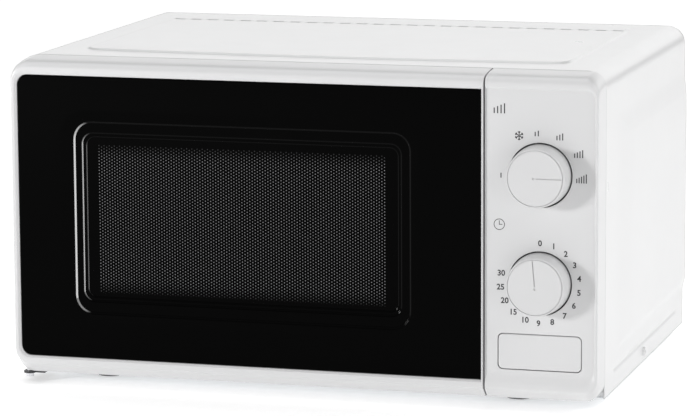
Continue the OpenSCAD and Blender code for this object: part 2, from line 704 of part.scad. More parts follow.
switch_zs = [hook_z, hook_z + 34, hook_zs[1]];
switch_y0 = hook_tip + 3;
switch_d = 10;
module interlock_switches() at_origin() color("dimgray") for (z = switch_zs) {
  block([cheek_x0 + cheek_t + 4, switch_y0, z - 10], [cheek_x1 - cheek_t, switch_y0 + switch_d, z + 10]);
  block([hook_x0 + 0.5, hook_tip + 1.5, z + 3], [hook_x1 - 0.5, switch_y0 + eps, z + 6]);
}

module release_lever() at_origin() color("ivory") {
  translate([0, lever_y, lever_z]) rod_x(lever_r, cheek_x0 - 2, knob_x + 7);
  block([hook_x0 - 1, lever_y + 1, lever_z - 2.4], [hook_x1 + 1, hook_tip, lever_z + 2.4]);
  block([hook_x0 - 1, hook_tip - 4, lever_z], [hook_x1 + 1, hook_tip, hook_z - 7 - pass_gap]);
  block([knob_x - 7, lever_y, lever_z - 2], [knob_x + 7, stem_y + pass_gap + 2.5, lever_z + 2]);
  block([knob_x - 7, stem_y + pass_gap, button_z - 3], [knob_x + 7, stem_y + pass_gap + 2.5, lever_z + 2]);
}

/* ---- Controls ---- */

module shaft_section(r) difference() {
  circle(r);
  translate([-r, r - shaft_flat]) square([2 * r, r]);
}

// Flatted shaft along y at a knob's place
module knob_shaft(z, r, y0, y1) translate([knob_x, 0, z]) along_y(y0, y1) shaft_section(r);

shaft_y0 = -8;
module timer_shaft() at_origin() color("silver") union() {
  knob_shaft(timer_z, shaft_r, shaft_y0, cup_y);
  translate([knob_x, 0, timer_z]) rod_y(shaft_r, cup_y - eps, unit_y0 + 12);
}
module power_shaft() at_origin() color("silver") union() {
  knob_shaft(power_z, shaft_r, shaft_y0, cup_y);
  translate([knob_x, 0, power_z]) rod_y(shaft_r, cup_y - eps, unit_y0 + 12);
}

module timer_unit() at_origin() color("beige") difference() {
  low = timer_z - 22;
  high = power_z + 20;
  union() {
    block([knob_x - 21, unit_y0, low], [knob_x + 21, unit_y1, high]);
    block([window_x0 - 4, unit_y0, low + 4], [window_x1 + 4, unit_y0 + 1.2, high - 4]);
  }
  for (z = [timer_z, power_z]) translate([knob_x, 0, z]) rod_y(shaft_r + run_fit, unit_y0 - cut, unit_y0 + 13);
}

module timer_bell() at_origin() color("gold") translate([knob_x, 0, timer_z + 20]) difference() {
  rod_y(18, unit_y1, unit_y1 + 9);
  rod_y(17, unit_y1 + 1, unit_y1 + 9 + cut);
}

// Knob whose pointer line turns with angle, measured clockwise from the top
module knob(z, angle) at_origin() color("white") translate([knob_x, 0, z]) rotate([0, angle, 0]) difference() {
  union() {
    rotate([90, 0, 0]) cylinder(r1 = knob_r, r2 = knob_front_r, h = knob_h - 1);
    translate([0, 1 - knob_h, 0]) rotate([90, 0, 0]) cylinder(r1 = knob_front_r, r2 = knob_front_r - 1, h = 1);
    rod_y(knob_r, -eps, cup_y - 3);
  }
  difference() {
    rod_y(knob_front_r - 4, -knob_h + 5, cup_y);
    rod_y(shaft_r + 3, -knob_h, cup_y - 3);
  }
  block([-0.4, -knob_h - cut, 0], [0.4, -knob_h + 0.4, knob_front_r - 2]);
  rotate([0, -angle, 0]) along_y(shaft_y0 - 1, cup_y) shaft_section(shaft_r + run_fit);
}
module timer_knob() knob(timer_z, 0);
module power_knob() knob(power_z, 90);

// Outline of the plastic front from the side, in y and z
module front_profile() polygon([
  [-rim_proud, front_low + 8], [-rim_proud, glass_low], [-rim_proud, body_h - 7], [-0.6, body_h - 4.8],
  [1.5, body_h - 3.3], [5, body_h - 2.3], [12, body_h - 1.6], [door_back, front_top],
  [door_back, front_low], [8, front_low]
]);

// Hollow behind the front's face
module front_hollow(face) polygon([
  [face, front_low + wall + 6], [face, body_h - 4.8 - wall], [5, body_h - 3.2 - wall],
  [door_back + cut, body_h - 2.4 - wall], [door_back + cut, front_low + wall], [8, front_low + wall]
]);

module control_panel() at_origin() color("gainsboro") {
  difference() {
    union() {
      difference() {
        intersection() {
          along_x(panel_x0, half_w) front_profile();
          along_y(-cut - rim_proud, front_d) {
            round_rect([panel_x0, front_low], [half_w, front_top], panel_r);
            translate([panel_x0, front_low]) square([panel_w / 2, front_top - front_low]);
          }
        }
        along_x(panel_x0 + wall, half_w - wall) front_hollow(wall);
        along_y(-cut - rim_proud, 0) {
          round_rect([panel_x0 - 2 * face_r, glass_low], [half_w - face_edge, glass_top], face_r);
        }
      }
      for (z = [timer_z, power_z]) translate([knob_x, 0, z]) rod_y(knob_hole_r + 2, 1, cup_y);
      block([panel_x0 + 1, 19.5, button_z - 8], [half_w - 1, 21.5, button_z + 8]);
    }
    for (z = [timer_z, power_z]) translate([knob_x, 0, z]) {
      rod_y(knob_hole_r, -cut, cup_y - 2);
      rod_y(shaft_r + pass_gap, 0, cup_y + cut);
    }
    translate([knob_x, 0, button_z]) {
      half = [button_w / 2 + button_gap, button_h / 2 + button_gap];
      along_y(-cut, wall + cut) round_rect([-half[0], -half[1]], [half[0], half[1]], 4);
      rod_y(stem_r + pass_gap, 19, 22);
    }
  }
}

module open_button() at_origin() color("gainsboro") translate([knob_x, 0, button_z]) {
  half = [button_w / 2, button_h / 2];
  difference() {
    along_y(0, 12) round_rect([-half[0], -half[1]], [half[0], half[1]], 3.6);
    along_y(2.5, 12 + cut) round_rect([2 - half[0], 2 - half[1]], [half[0] - 2, half[1] - 2], 2);
  }
  rod_y(stem_r, 2, stem_y);
}

module button_spring() at_origin() color("silver") translate([knob_x, 3, button_z]) rotate([-90, 0, 0])
  coil(stem_r + 1.6, 16, 0.45, 5);

/* ---- Door ---- */

win_x = cavity_cx;                  // middle of the window
win_z = (glass_low + glass_top) / 2 - 0.3;
mesh_margin = 12;                   // plain border round the perforated part
screen_y = glass_t + 0.4;
screen_t = 0.8;
choke_x0 = glass_x0 + 9;
choke_x1 = hook_x0 - 1.7;
choke_z0 = front_low + 5;
choke_z1 = front_top - 7;
choke_y = 10;
cover_y = door_back - 2;

module window_outline(grow) round_rect([win_x - mesh_w / 2 - mesh_margin - grow, win_z - mesh_h / 2 - mesh_margin - grow],
  [win_x + mesh_w / 2 + mesh_margin + grow, win_z + mesh_h / 2 + mesh_margin + grow], 8 + grow);

module door_outline() {
  round_rect([-half_w, front_low], [door_x1, front_top], door_r);
  translate([win_x, front_low]) square([door_x1 - win_x, front_top - front_low]);
}

module door_frame() at_origin() color("whitesmoke") difference() {
  union() {
    difference() {
      intersection() {
        along_x(-half_w, door_x1) front_profile();
        along_y(-cut - rim_proud, front_d) door_outline();
      }
      along_x(-half_w + wall, door_x1 - wall) front_hollow(glass_t + 2.2);
    }
    for (z = [[front_low, front_low + 15], [arm_z - 8, front_top - 2]])
      block([-half_w + 1, glass_t + 1, z[0]], [hinge_x + 6, hinge_y + swing_r - 1, z[1]]);
    for (z = [hook_z + 24, hook_z + 70]) translate([0, 14, z]) rod_x(1.9, hook_x0 - 1, door_x1 - 1);
    block([hook_x0, 10, button_z - 8], [door_x1 - 1, 18, button_z - 4]);
  }
  along_y(-cut - rim_proud, glass_t + lie_gap) round_rect([glass_x0, glass_low], [door_x1 + 12, glass_top], 8);
  along_y(0, glass_t + 4) window_outline(4);
  for (z = [[front_low - cut, front_low + 12], [arm_z - 7, arm_z + 8]])
    translate([hinge_x, hinge_y, 0]) rod_z(pin_r + run_fit, z[0], z[1]);
  block([-half_w - cut, hinge_y - 5.8, arm_z - pass_gap],
    [hinge_x + arm_half + 0.8, front_d, arm_z + arm_t + pass_gap]);
  difference() {
    block([-half_w - cut, hinge_y, 0], [hinge_x, front_d, body_h]);
    translate([hinge_x, hinge_y, 0]) rod_z(swing_r, -cut, body_h + cut);
  }
}

module door_glass() at_origin() color("black") along_y(0, glass_t) difference() {
  round_rect([glass_x0 + lie_gap, glass_low + lie_gap], [door_x1 + 12, glass_top - lie_gap], 8 - lie_gap);
  translate([door_x1, 0]) square([20, body_h]);
}

module door_screen() at_origin() color("dimgray") {
  along_y(screen_y, screen_y + screen_t) window_outline(2);
  along_y(screen_y, choke_y + screen_t) difference() {
    window_outline(2);
    window_outline(2 - screen_t);
  }
  along_y(choke_y, choke_y + screen_t) difference() {
    translate([choke_x0, choke_z0]) square([choke_x1 - choke_x0, choke_z1 - choke_z0]);
    window_outline(2 - screen_t);
  }
  along_y(choke_y, cover_y) difference() {
    translate([choke_x0, choke_z0]) square([choke_x1 - choke_x0, choke_z1 - choke_z0]);
    translate([choke_x0 + screen_t, choke_z0 + screen_t])
      square([choke_x1 - choke_x0 - 2 * screen_t, choke_z1 - choke_z0 - 2 * screen_t]);
  }
}

module inner_window() at_origin() color("white", 0.3)
  along_y(cover_y - 1, cover_y) window_outline(6);

module choke_cover() at_origin() color("dimgray") difference() {
  along_y(cover_y, door_back) difference() {
    round_rect([choke_x0, choke_z0 - 2], [door_x1 - wall - lie_gap, choke_z1 + 1], 3);
    window_outline(-2);
  }
  for (z = hook_zs) block([hook_x0 - 1, cover_y - cut, z - 6], [hook_x1 + 1, door_back + cut, z + 6 + hook_lift]);
}

module hook_bar() at_origin() color("dimgray") difference() {
  union() {
    block([hook_x0, bar_y0, hook_zs[0] - 12], [hook_x1, bar_y1, hook_zs[1] + 12]);
    for (z = hook_zs) translate([hook_x0, 0, 0]) rotate([90, 0, 90]) linear_extrude(hook_t) polygon([
      [bar_y1 - 1, z - 4], [hook_tip - 5, z - 4], [hook_tip - 5, z - 7], [hook_tip - 2, z - 7],
      [hook_tip, z - 2], [hook_tip - 2, z + 4], [bar_y1 - 1, z + 4]
    ]);
  }
  for (z = [hook_z + 24, hook_z + 70]) translate([0, 14, 0]) {
    block([hook_x0 - cut, -2, z - 2 - hook_lift], [hook_x1 + cut, 2, z + pass_gap / 2]);
    for (end = [z - 2 - hook_lift, z]) translate([0, 0, end]) rod_x(2, hook_x0 - cut, hook_x1 + cut);
  }
}

module hook_spring() at_origin() color("silver")
  translate([(hook_x0 + hook_x1) / 2, 14, button_z - 3.4]) coil(2.2, hook_z - button_z - 9.2, 0.4, 9);

/* ---- Hinges ---- */

module lower_hinge() at_origin() color("silver") difference() {
  union() {
    block([-side_in + 1, hinge_y, base_z - arm_t], [hinge_x + 12, hinge_y + 34, base_z]);
    translate([hinge_x, hinge_y, 0]) rod_z(pin_r + 2.4, base_z - arm_t, base_z);
  }
  translate([hinge_x, hinge_y, 0]) rod_z(pin_r, base_z - arm_t - cut, base_z + cut);
}

module upper_hinge() at_origin() color("silver") difference() {
  union() {
    translate([hinge_x, hinge_y, 0]) rod_z(arm_half, arm_z, arm_z + arm_t);
    block([hinge_x - arm_half, hinge_y, arm_z], [hinge_x + arm_half, plate_y1 + 1, arm_z + arm_t]);
    block([hinge_x - arm_half, plate_y1, arm_z - 24], [cavity_x0 - liner - 1, plate_y1 + arm_t, arm_z + arm_t]);
  }
  translate([hinge_x, hinge_y, 0]) rod_z(pin_r, arm_z - cut, arm_z + arm_t + cut);
}

module hinge_pins() at_origin() color("gray") translate([hinge_x, hinge_y, 0]) {
  rod_z(pin_r, base_z - arm_t - 3, front_low + 11);
  rod_z(pin_r + 0.9, base_z - arm_t - 3, base_z - arm_t);
  rod_z(pin_r, arm_z - 6, arm_z + 7);
}

outer_cabinet();
base_plate();
rear_panel();
front_plate();
cavity_box();
feet();
cabinet_screws();
cord_gland();
waveguide();
waveguide_cover();
magnetron_frame();
magnetron_fins();
magnetron_tube();
magnetron_filter_box();
transformer_core();
transformer_windings();
capacitor();
capacitor_clamp();
high_voltage_diode();
fan_shroud();
fan_motor();
fan_shaft();
fan_blades();
lamp_bulb();
lamp_holder();
thermal_cutouts();
noise_filter_board();
mains_fuse();
interlock_bracket();
interlock_switches();
release_lever();
timer_unit();
timer_bell();
timer_shaft();
power_shaft();
timer_knob();
power_knob();
control_panel();
open_button();
button_spring();
door_frame();
door_glass();
door_screen();
inner_window();
choke_cover();
hook_bar();
hook_spring();
upper_hinge();
lower_hinge();
hinge_pins();
turntable_motor();
turntable_coupler();
roller_ring();
roller_wheel_1();
roller_wheel_2();
roller_wheel_3();
glass_tray();
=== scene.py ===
import math
import bmesh
import bpy
from mathutils import Matrix, Vector


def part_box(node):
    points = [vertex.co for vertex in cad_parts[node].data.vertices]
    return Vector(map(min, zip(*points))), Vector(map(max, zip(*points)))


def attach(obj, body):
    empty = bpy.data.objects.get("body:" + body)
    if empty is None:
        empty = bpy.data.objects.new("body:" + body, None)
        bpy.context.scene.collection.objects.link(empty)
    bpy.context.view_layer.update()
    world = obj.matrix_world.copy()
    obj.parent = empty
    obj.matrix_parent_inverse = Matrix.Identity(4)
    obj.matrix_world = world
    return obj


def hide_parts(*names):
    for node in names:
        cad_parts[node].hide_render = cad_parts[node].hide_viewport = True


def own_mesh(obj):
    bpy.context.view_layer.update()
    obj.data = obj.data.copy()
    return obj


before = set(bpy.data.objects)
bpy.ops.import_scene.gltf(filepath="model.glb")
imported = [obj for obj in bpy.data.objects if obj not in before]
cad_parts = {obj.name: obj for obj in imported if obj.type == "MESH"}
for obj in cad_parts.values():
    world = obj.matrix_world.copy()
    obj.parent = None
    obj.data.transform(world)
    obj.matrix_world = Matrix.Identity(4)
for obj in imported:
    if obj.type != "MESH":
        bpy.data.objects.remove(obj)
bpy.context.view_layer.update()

# ---- Studio ----
# The oven stands on a white floor. A long lens looks at it from the right and a little above. Soft boxes
# over the right shoulder and above light the side and top, a small one at the left gives the knobs their
# shadows, a strip fills the front from the right and a wide box stands behind.
camera_data = bpy.data.cameras.new("camera")
camera_data.lens = 185.12
camera_data.sensor_width = 36.0
camera_data.clip_end = 50.0
camera = bpy.data.objects.new("camera", camera_data)
bpy.context.scene.collection.objects.link(camera)
bpy.context.scene.camera = camera
camera_yaw, camera_pitch, camera_roll = math.radians(16.172), math.radians(9.327), math.radians(-0.283)
camera.matrix_world = (
    Matrix.Translation((0.76385, -2.65343, 0.57392))
    @ Matrix.Rotation(camera_yaw, 4, "Z")
    @ Matrix.Rotation(math.pi / 2 - camera_pitch, 4, "X")
    @ Matrix.Rotation(camera_roll, 4, "Z")
)


class Value:
    """A socket in a material, or the sum, product and so on of sockets, written as arithmetic."""

    def __init__(self, finish, socket):
        self.finish, self.socket = finish, socket

    def math(self, operation, *values):
        return self.finish.add("ShaderNodeMath", {"operation": operation}, dict(enumerate(values)))

    def __add__(self, other):
        return self.math("ADD", self, other)

    def __radd__(self, other):
        return self.math("ADD", other, self)

    def __sub__(self, other):
        return self.math("SUBTRACT", self, other)

    def __rsub__(self, other):
        return self.math("SUBTRACT", other, self)

    def __mul__(self, other):
        return self.math("MULTIPLY", self, other)

    def __rmul__(self, other):
        return self.math("MULTIPLY", other, self)

    def __truediv__(self, other):
        return self.math("DIVIDE", self, other)

    def __gt__(self, other):
        return self.math("GREATER_THAN", self, other)

    def __lt__(self, other):
        return self.math("LESS_THAN", self, other)

    def __mod__(self, other):
        return self.math("FLOORED_MODULO", self, other)

    def __pow__(self, other):
        return self.math("POWER", self, other)

    def least(self, other):
        return self.math("MINIMUM", self, other)

    def ramp(self, low, high):
        """0 below low, 1 above high, smooth in between."""
        return self.finish.add("ShaderNodeMapRange", {"interpolation_type": "SMOOTHSTEP"},
                               {"Value": self, "From Min": low, "From Max": high})


class Finish:
    """A material with one principled shader, and the calls that add nodes to it."""

    def __init__(self, name, color, roughness, metallic=0.0, **fixed):
        self.material = bpy.data.materials.new(name)
        self.material.use_nodes = True
        self.tree = self.material.node_tree
        self.shader = self.tree.nodes["Principled BSDF"]
        self.set("Base Color", (*color, 1.0))
        self.set("Roughness", roughness)
        self.set("Metallic", metallic)
        for socket, value in fixed.items():
            self.set(socket.replace("_", " "), value)

    def set(self, socket, value):
        if isinstance(value, Value):
            self.tree.links.new(value.socket, self.shader.inputs[socket])
        else:
            self.shader.inputs[socket].default_value = value

    def add(self, kind, settings, inputs, output=0):
        node = self.tree.nodes.new(kind)
        for key, value in settings.items():
            setattr(node, key, value)
        for key, value in inputs.items():
            if isinstance(value, Value):
                self.tree.links.new(value.socket, node.inputs[key])
            else:
                node.inputs[key].default_value = value
        return Value(self, node.outputs[output])

    def place(self):
        """Where a point is on the piece, in metres, as three values."""
        spot = self.add("ShaderNodeTexCoord", {}, {}, "Object")
        return spot, [self.add("ShaderNodeSeparateXYZ", {}, {"Vector": spot}, axis) for axis in "XYZ"]

    def noise(self, spot, scale, detail=2.0):
        return self.add("ShaderNodeTexNoise", {}, {"Vector": spot, "Scale": scale, "Detail": detail})

    def mix(self, share, first, second):
        """A colour between two colours."""
        node = self.tree.nodes.new("ShaderNodeMix")
        node.data_type = "RGBA"
        for key, value in (("Factor_Float", share), ("A_Color", first), ("B_Color", second)):
            socket = [s for s in node.inputs if s.identifier == key][0]
            if isinstance(value, Value):
                self.tree.links.new(value.socket, socket)
            else:
                socket.default_value = (*value, 1.0) if isinstance(value, tuple) else value
        return Value(self, [s for s in node.outputs if s.identifier == "Result_Color"][0])

    def bump(self, height, distance, strength=1.0):
        self.set("Normal", self.add("ShaderNodeBump", {}, {
            "Height": height, "Distance": distance, "Strength": strength}))


def build(name, mesh, finish, crease=32.0):
    """An object from a bmesh: smooth, with sharp edges where faces meet at more than crease degrees."""
    bmesh.ops.remove_doubles(mesh, verts=mesh.verts, dist=1e-6)
    bmesh.ops.recalc_face_normals(mesh, faces=mesh.faces)
    for face in mesh.faces:
        face.smooth = True
    for edge in mesh.edges:
        if len(edge.link_faces) == 2:
            edge.smooth = edge.calc_face_angle(0.0) < math.radians(crease)
    data = bpy.data.meshes.new(name)
    mesh.to_mesh(data)
    mesh.free()
    data.materials.append(finish.material)
    piece = bpy.data.objects.new(name, data)
    bpy.context.scene.collection.objects.link(piece)
    if crease < 180.0:
        flat = piece.modifiers.new("flat faces stay flat", "WEIGHTED_NORMAL")
        flat.keep_sharp, flat.weight = True, 80
    return piece


floor_finish = Finish("studio_floor", (0.96, 0.96, 0.96), 0.9, Specular_IOR_Level=0.0,
                      Emission_Color=(1.0, 1.0, 1.0, 1.0), Emission_Strength=0.38)
floor_spot, _ = floor_finish.place()
floor_finish.set("Base Color", floor_finish.mix(
    floor_finish.noise(floor_spot, 3.0), (0.955, 0.955, 0.955), (0.965, 0.965, 0.965)))
floor_mesh = bmesh.new()
bmesh.ops.create_grid(floor_mesh, x_segments=4, y_segments=4, size=12.0)
floor = build("studio_floor", floor_mesh, floor_finish)

world = bpy.data.worlds.new("studio")
world.use_nodes = True
world.node_tree.nodes["Background"].inputs["Color"].default_value = (1.0, 1.0, 1.0, 1.0)
world.node_tree.nodes["Background"].inputs["Strength"].default_value = 0.35
bpy.context.scene.world = world
bpy.context.scene.view_settings.view_transform = "Standard"


def soft_box(name, spot, aim, width, height, power):
    """A rectangular studio light that faces the aim point."""
    data = bpy.data.lights.new(name, "AREA")
    data.shape, data.size, data.size_y, data.energy = "RECTANGLE", width, height, power
    light = bpy.data.objects.new(name, data)
    bpy.context.scene.collection.objects.link(light)
    light.matrix_world = (Matrix.Translation(spot)
                          @ (Vector(aim) - Vector(spot)).to_track_quat("-Z", "Y").to_matrix().to_4x4())
    return light


soft_box("shoulder_box", (1.9, -0.3, 1.6), (0.0, 0.0, 0.2), 1.3, 1.3, 24.0)
soft_box("top_box", (-0.3, 0.4, 2.2), (0.0, 0.0, 0.2), 1.8, 1.4, 12.0)
soft_box("left_box", (-1.8, -1.8, 0.5), (0.0, 0.0, 0.12), 0.4, 0.4, 34.0)
soft_box("rim_strip", (1.6, -1.5, 0.32), (-0.1, -0.15, 0.13), 0.3, 0.5, 3.0)
back_box = soft_box("back_box", (0.0, 3.5, 1.25), (0.0, 0.0, 0.25), 6.0, 1.4, 30.0)
back_box.visible_camera = False

# ---- Cabinet ----
# The wrap is one sheet of steel, bent over the top, with stiffening panels pressed outwards in its
# sides and top and a row of vent slots punched near the back. It is powder coated glossy white.
wrap_low, wrap_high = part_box("outer_cabinet")
glass_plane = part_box("door_glass")[0].y            # front of the door glass; depths are from here


def point(x, y, z):
    """A place given in millimetres, y from the front of the door glass."""
    return Vector((x / 1000, glass_plane + y / 1000, z / 1000))


white_paint = Finish("white_paint", (0.635, 0.635, 0.64), 0.28, Coat_Weight=0.12, Coat_Roughness=0.15)
paint_spot, _ = white_paint.place()
white_paint.set("Roughness", 0.26 + 0.06 * white_paint.noise(paint_spot, 45.0, 3.0))
white_paint.set("Base Color", white_paint.mix(
    white_paint.noise(paint_spot, 14.0, 3.0), (0.625, 0.625, 0.63), (0.645, 0.645, 0.648)))
white_paint.bump(white_paint.noise(paint_spot, 420.0, 2.0), 0.00004, 0.5)

side_x = 225.0                                     # flat side wall
top_z, corner_r = 250.0, 14.0
wrap_y0 = (wrap_low.y - glass_plane) * 1000
wrap_y1 = (wrap_high.y - glass_plane) * 1000
wrap_z0 = wrap_low.z * 1000
panel_rise, top_rise = 1.7, 1.2
vent_y, vent_pitch, vent_length, vent_width, vent_count = 268.0, 14.0, 9.0, 4.4, 27


def ease(share):
    """Smooth step from 0 to 1."""
    share = min(1.0, max(0.0, share))
    return share * share * (3 - 2 * share)


def steps(*stops):
    """Stations between stops given as (position, spacing up to the next stop)."""
    found = []
    for (start, gap), (end, _) in zip(stops, stops[1:]):
        count = max(1, round((end - start) / gap))
        found += [start + (end - start) * i / count for i in range(count)]
    return found + [stops[-1][0]]


def rounded_least(values, blend):
    """The least of some values, with the corner between them rounded."""
    low = min(values)
    return low - blend * math.log(sum(math.exp((low - v) / blend) for v in values))


def side_rise(y, z):
    """How far the pressed side panel stands out at a place on the side."""
    panel_front, panel_top, panel_foot = 57, 216, 37
    slopes = [(y - panel_front) / 65, (panel_top - z) / 26, (z - panel_foot) / 9, 1.0]
    soft = max(0.0, rounded_least(slopes, 0.05))
    crisp = min(1.0, max(0.0, min(slopes)))
    rise = panel_rise * ease(0.5 * soft + 0.5 * crisp)
    bead_z, bead_depth, bead_half = 24, 0.9, 1.5
    bead = bead_depth * math.exp(-((z - bead_z) / bead_half) ** 2) * ease((y - 54) / 6) * ease((296 - y) / 6)
    return rise - bead


def top_lift(x, y):
    """How far the pressed top panel stands above the top at a place on it."""
    half_x, front_y, back_y, r, bow = 189.0, 53.0, 286.0, 12.0, 8.0
    share = min(1.0, max(0.0, (back_y - y) / (back_y - front_y)))
    y = y - bow * (x / half_x) ** 2 * share        # the front line of the panel is bowed
    dx = abs(x) - (half_x - r)
    dy = abs(y - (front_y + back_y) / 2) - ((back_y - front_y) / 2 - r)
    outside = math.hypot(max(dx, 0), max(dy, 0)) + min(max(dx, dy), 0) - r
    return top_rise * ease(-outside / 1.5)


# places of the mesh lines, closer together where the sheet bends
side_stations = steps((wrap_z0, 2.5), (20, 0.7), (28, 2.5), (36, 1.5), (60, 7), (195, 1.5), (214, 3),
                      (236, 3))
vent_middles = [(i - vent_count // 2) * vent_pitch for i in range(vent_count)]
vent_edges = [v for middle in vent_middles for v in (middle - vent_length / 2, middle + vent_length / 2)]
top_stations = sorted(set(
    [round(v, 3) for v in steps((-211, 4), (-192, 0.9), (-182, 4), (182, 0.9), (192, 4), (211, 4))]
    + [round(v, 3) for v in vent_edges]))
across = [(-side_x, z, -1.0, 0.0) for z in side_stations]
corner_lines = 9
for i in range(1, corner_lines + 1):
    turn = math.pi - math.pi / 2 * i / (corner_lines + 1)
    nx, nz = math.cos(turn), math.sin(turn)
    across.append((-side_x + corner_r + corner_r * nx, top_z - corner_r + corner_r * nz, nx, nz))
across += [(x, top_z, 0.0, 1.0) for x in top_stations]
across += [(-x, z, -nx, nz) for x, z, nx, nz in reversed(across[:len(side_stations) + corner_lines])]
along = steps((wrap_y0, 1.2), (30, 4), (48, 0.8), (68, 3), (126, 6), (246, 3), (264, 3), (276, 0.9), (292, 4),
              (wrap_y1, 1))
along = sorted(set(along + [vent_y - vent_width / 2, vent_y + vent_width / 2]))

wrap = bmesh.new()
wrap_rows = []
for x, z, nx, nz in across:
    row = []
    for y in along:
        out = 0.0
        if nz == 0.0:
            out = side_rise(y, z)
        elif nx == 0.0:
            out = top_lift(x, y)
        row.append(wrap.verts.new(point(x + nx * out, y, z + nz * out)))
    wrap_rows.append(row)
for i in range(len(across) - 1):
    near, far = wrap_rows[i], wrap_rows[i + 1]
    for k in range(len(along) - 1):
        middle_x, middle_y = (across[i][0] + across[i + 1][0]) / 2, (along[k] + along[k + 1]) / 2
        slot = (across[i][3] == across[i + 1][3] == 1.0 and abs(middle_y - vent_y) < vent_width / 2
                and any(abs(middle_x - middle) < vent_length / 2 for middle in vent_middles))
        if not slot:
            wrap.faces.new([near[k], near[k + 1], far[k + 1], far[k]])
cabinet_wrap = build("cabinet_wrap", wrap, white_paint, 50.0)
sheet = cabinet_wrap.modifiers.new("sheet", "SOLIDIFY")
sheet.thickness, sheet.offset, sheet.use_even_offset = 0.001, -1.0, False
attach(cabinet_wrap, "cabinet")
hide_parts("outer_cabinet")

# ---- Plastic front: door frame ----
# The door's frame is injection moulded in glossy white ABS. A narrow rim stands proud of the glass all
# round, the top falls back in a soft curve and the lower edge is chamfered. It is clipped over the door.
white_plastic = Finish("white_plastic", (0.605, 0.605, 0.61), 0.3, Coat_Weight=0.12, Coat_Roughness=0.12)
plastic_spot, _ = white_plastic.place()
white_plastic.set("Roughness", 0.3 + 0.07 * white_plastic.noise(plastic_spot, 60.0, 3.0))
white_plastic.set("Base Color", white_plastic.mix(
    white_plastic.noise(plastic_spot, 20.0, 2.0), (0.60, 0.60, 0.605), (0.615, 0.615, 0.62)))
white_plastic.bump(white_plastic.noise(plastic_spot, 900.0, 2.0), 0.00002, 0.35)

door_left, door_right = -225.0, 139.9
moulding_back = 24.6
# depth, lower edge, upper edge and how far the ends are drawn in, from the back to the proud rim
front_low, back_top, rim_y = 9.5, 249.7, -1.2
moulding_rings = [
    (moulding_back, front_low, back_top, 0.0), (17.0, front_low, 249.2, 0.0), (9.0, front_low, 248.3, 0.0),
    (7.6, 9.8, 248.0, 0.0), (5.0, 12.0, 247.6, 0.0), (3.0, 13.8, 247.1, 0.0), (1.5, 15.1, 246.4, 0.0),
    (0.3, 16.1, 245.5, 0.0), (-0.5, 16.9, 244.5, 0.1), (-0.95, 17.6, 243.6, 0.35), (-1.15, 18.2, 242.9, 0.8),
    (rim_y, 18.8, 242.2, 1.3)]


def outline(low, high, radii, y, steps_round=8):
    """Rounded rectangle seen from the front, from its lower left corner; radii go the same way round."""
    (x0, z0), (x1, z1) = low, high
    corners = ((x0, z0, 1, 1, math.pi), (x1, z0, -1, 1, 1.5 * math.pi), (x1, z1, -1, -1, 0),
               (x0, z1, 1, -1, math.pi / 2))
    spots = []
    for (x, z, sx, sz, start), r in zip(corners, radii):
        for i in range(steps_round + 1):
            turn = start + math.pi / 2 * i / steps_round
            spots.append(point(x + sx * r + r * math.cos(turn), y, z + sz * r + r * math.sin(turn)))
    return spots


def loft(mesh, rings, close_last=False):
    """Joins rings of points, each to the next, and may close the last one with a face."""
    rows = [[mesh.verts.new(p) for p in ring] for ring in rings]
    for near, far in zip(rows, rows[1:]):
        for i in range(len(near)):
            k = (i + 1) % len(near)
            mesh.faces.new([near[i], near[k], far[k], far[i]])
    if close_last:
        mesh.faces.new(rows[-1])


door_r, cut_r, wall, shelf_y = 12.0, 0.4, 2.5, 5.2
hinge_axis_x, hinge_axis_y, arm_low, arm_high = -218.6, 12.0, 231.4, 234.1
swing_r = moulding_back - hinge_axis_y
frame_mesh = bmesh.new()
inner_low, inner_high = (door_left + wall, 12.0), (door_right - wall, 246.4)
inner_radii = (9.5, 0.3, 0.3, 9.5)
shelf_ring = outline(inner_low, inner_high, inner_radii, shelf_y)
frame_rings = [shelf_ring, outline(inner_low, inner_high, inner_radii, 22.4),
               outline((hinge_axis_x + 0.3, inner_low[1]), inner_high, (6.0, 0.3, 0.3, 6.0), moulding_back)]
# the rear left corner is rounded about the hinge axis, so that it clears the cabinet as the door swings
for turn in (0, 15, 25, 30):
    y = hinge_axis_y + swing_r * math.cos(math.radians(turn))
    left = max(door_left, hinge_axis_x - swing_r * math.sin(math.radians(turn)))
    r = door_r - 0.6 * (left - door_left)
    frame_rings.append(outline((left, front_low), (door_right, back_top), (r, cut_r, cut_r, r), y))
for y, low, high, draw in moulding_rings[1:]:
    r = door_r - draw
    frame_rings.append(
        outline((door_left + draw, low), (door_right - min(draw, 0.3), high), (r, cut_r, cut_r, r), y))
frame_rings += [
    outline((-222.4, 21.6), (138.7, 240.2), (9.0, 0.3, 0.3, 9.0), rim_y),
    outline((-222.1, 21.9), (138.6, 239.9), (9.0, 0.3, 0.3, 9.0), rim_y + 0.1),
    outline((-220.3, 23.2), (138.4, 237.8), (8.0, 0.3, 0.3, 8.0), 0.05)]
frame_rings += [outline((-220.1, 23.5), (138.4, 237.5), (8.0, 0.3, 0.3, 8.0), y) for y in (0.6, 3.2, shelf_y)]
frame_rings.append(shelf_ring)
loft(frame_mesh, frame_rings)
bmesh.ops.remove_doubles(frame_mesh, verts=frame_mesh.verts, dist=1e-6)
bmesh.ops.recalc_face_normals(frame_mesh, faces=frame_mesh.faces)

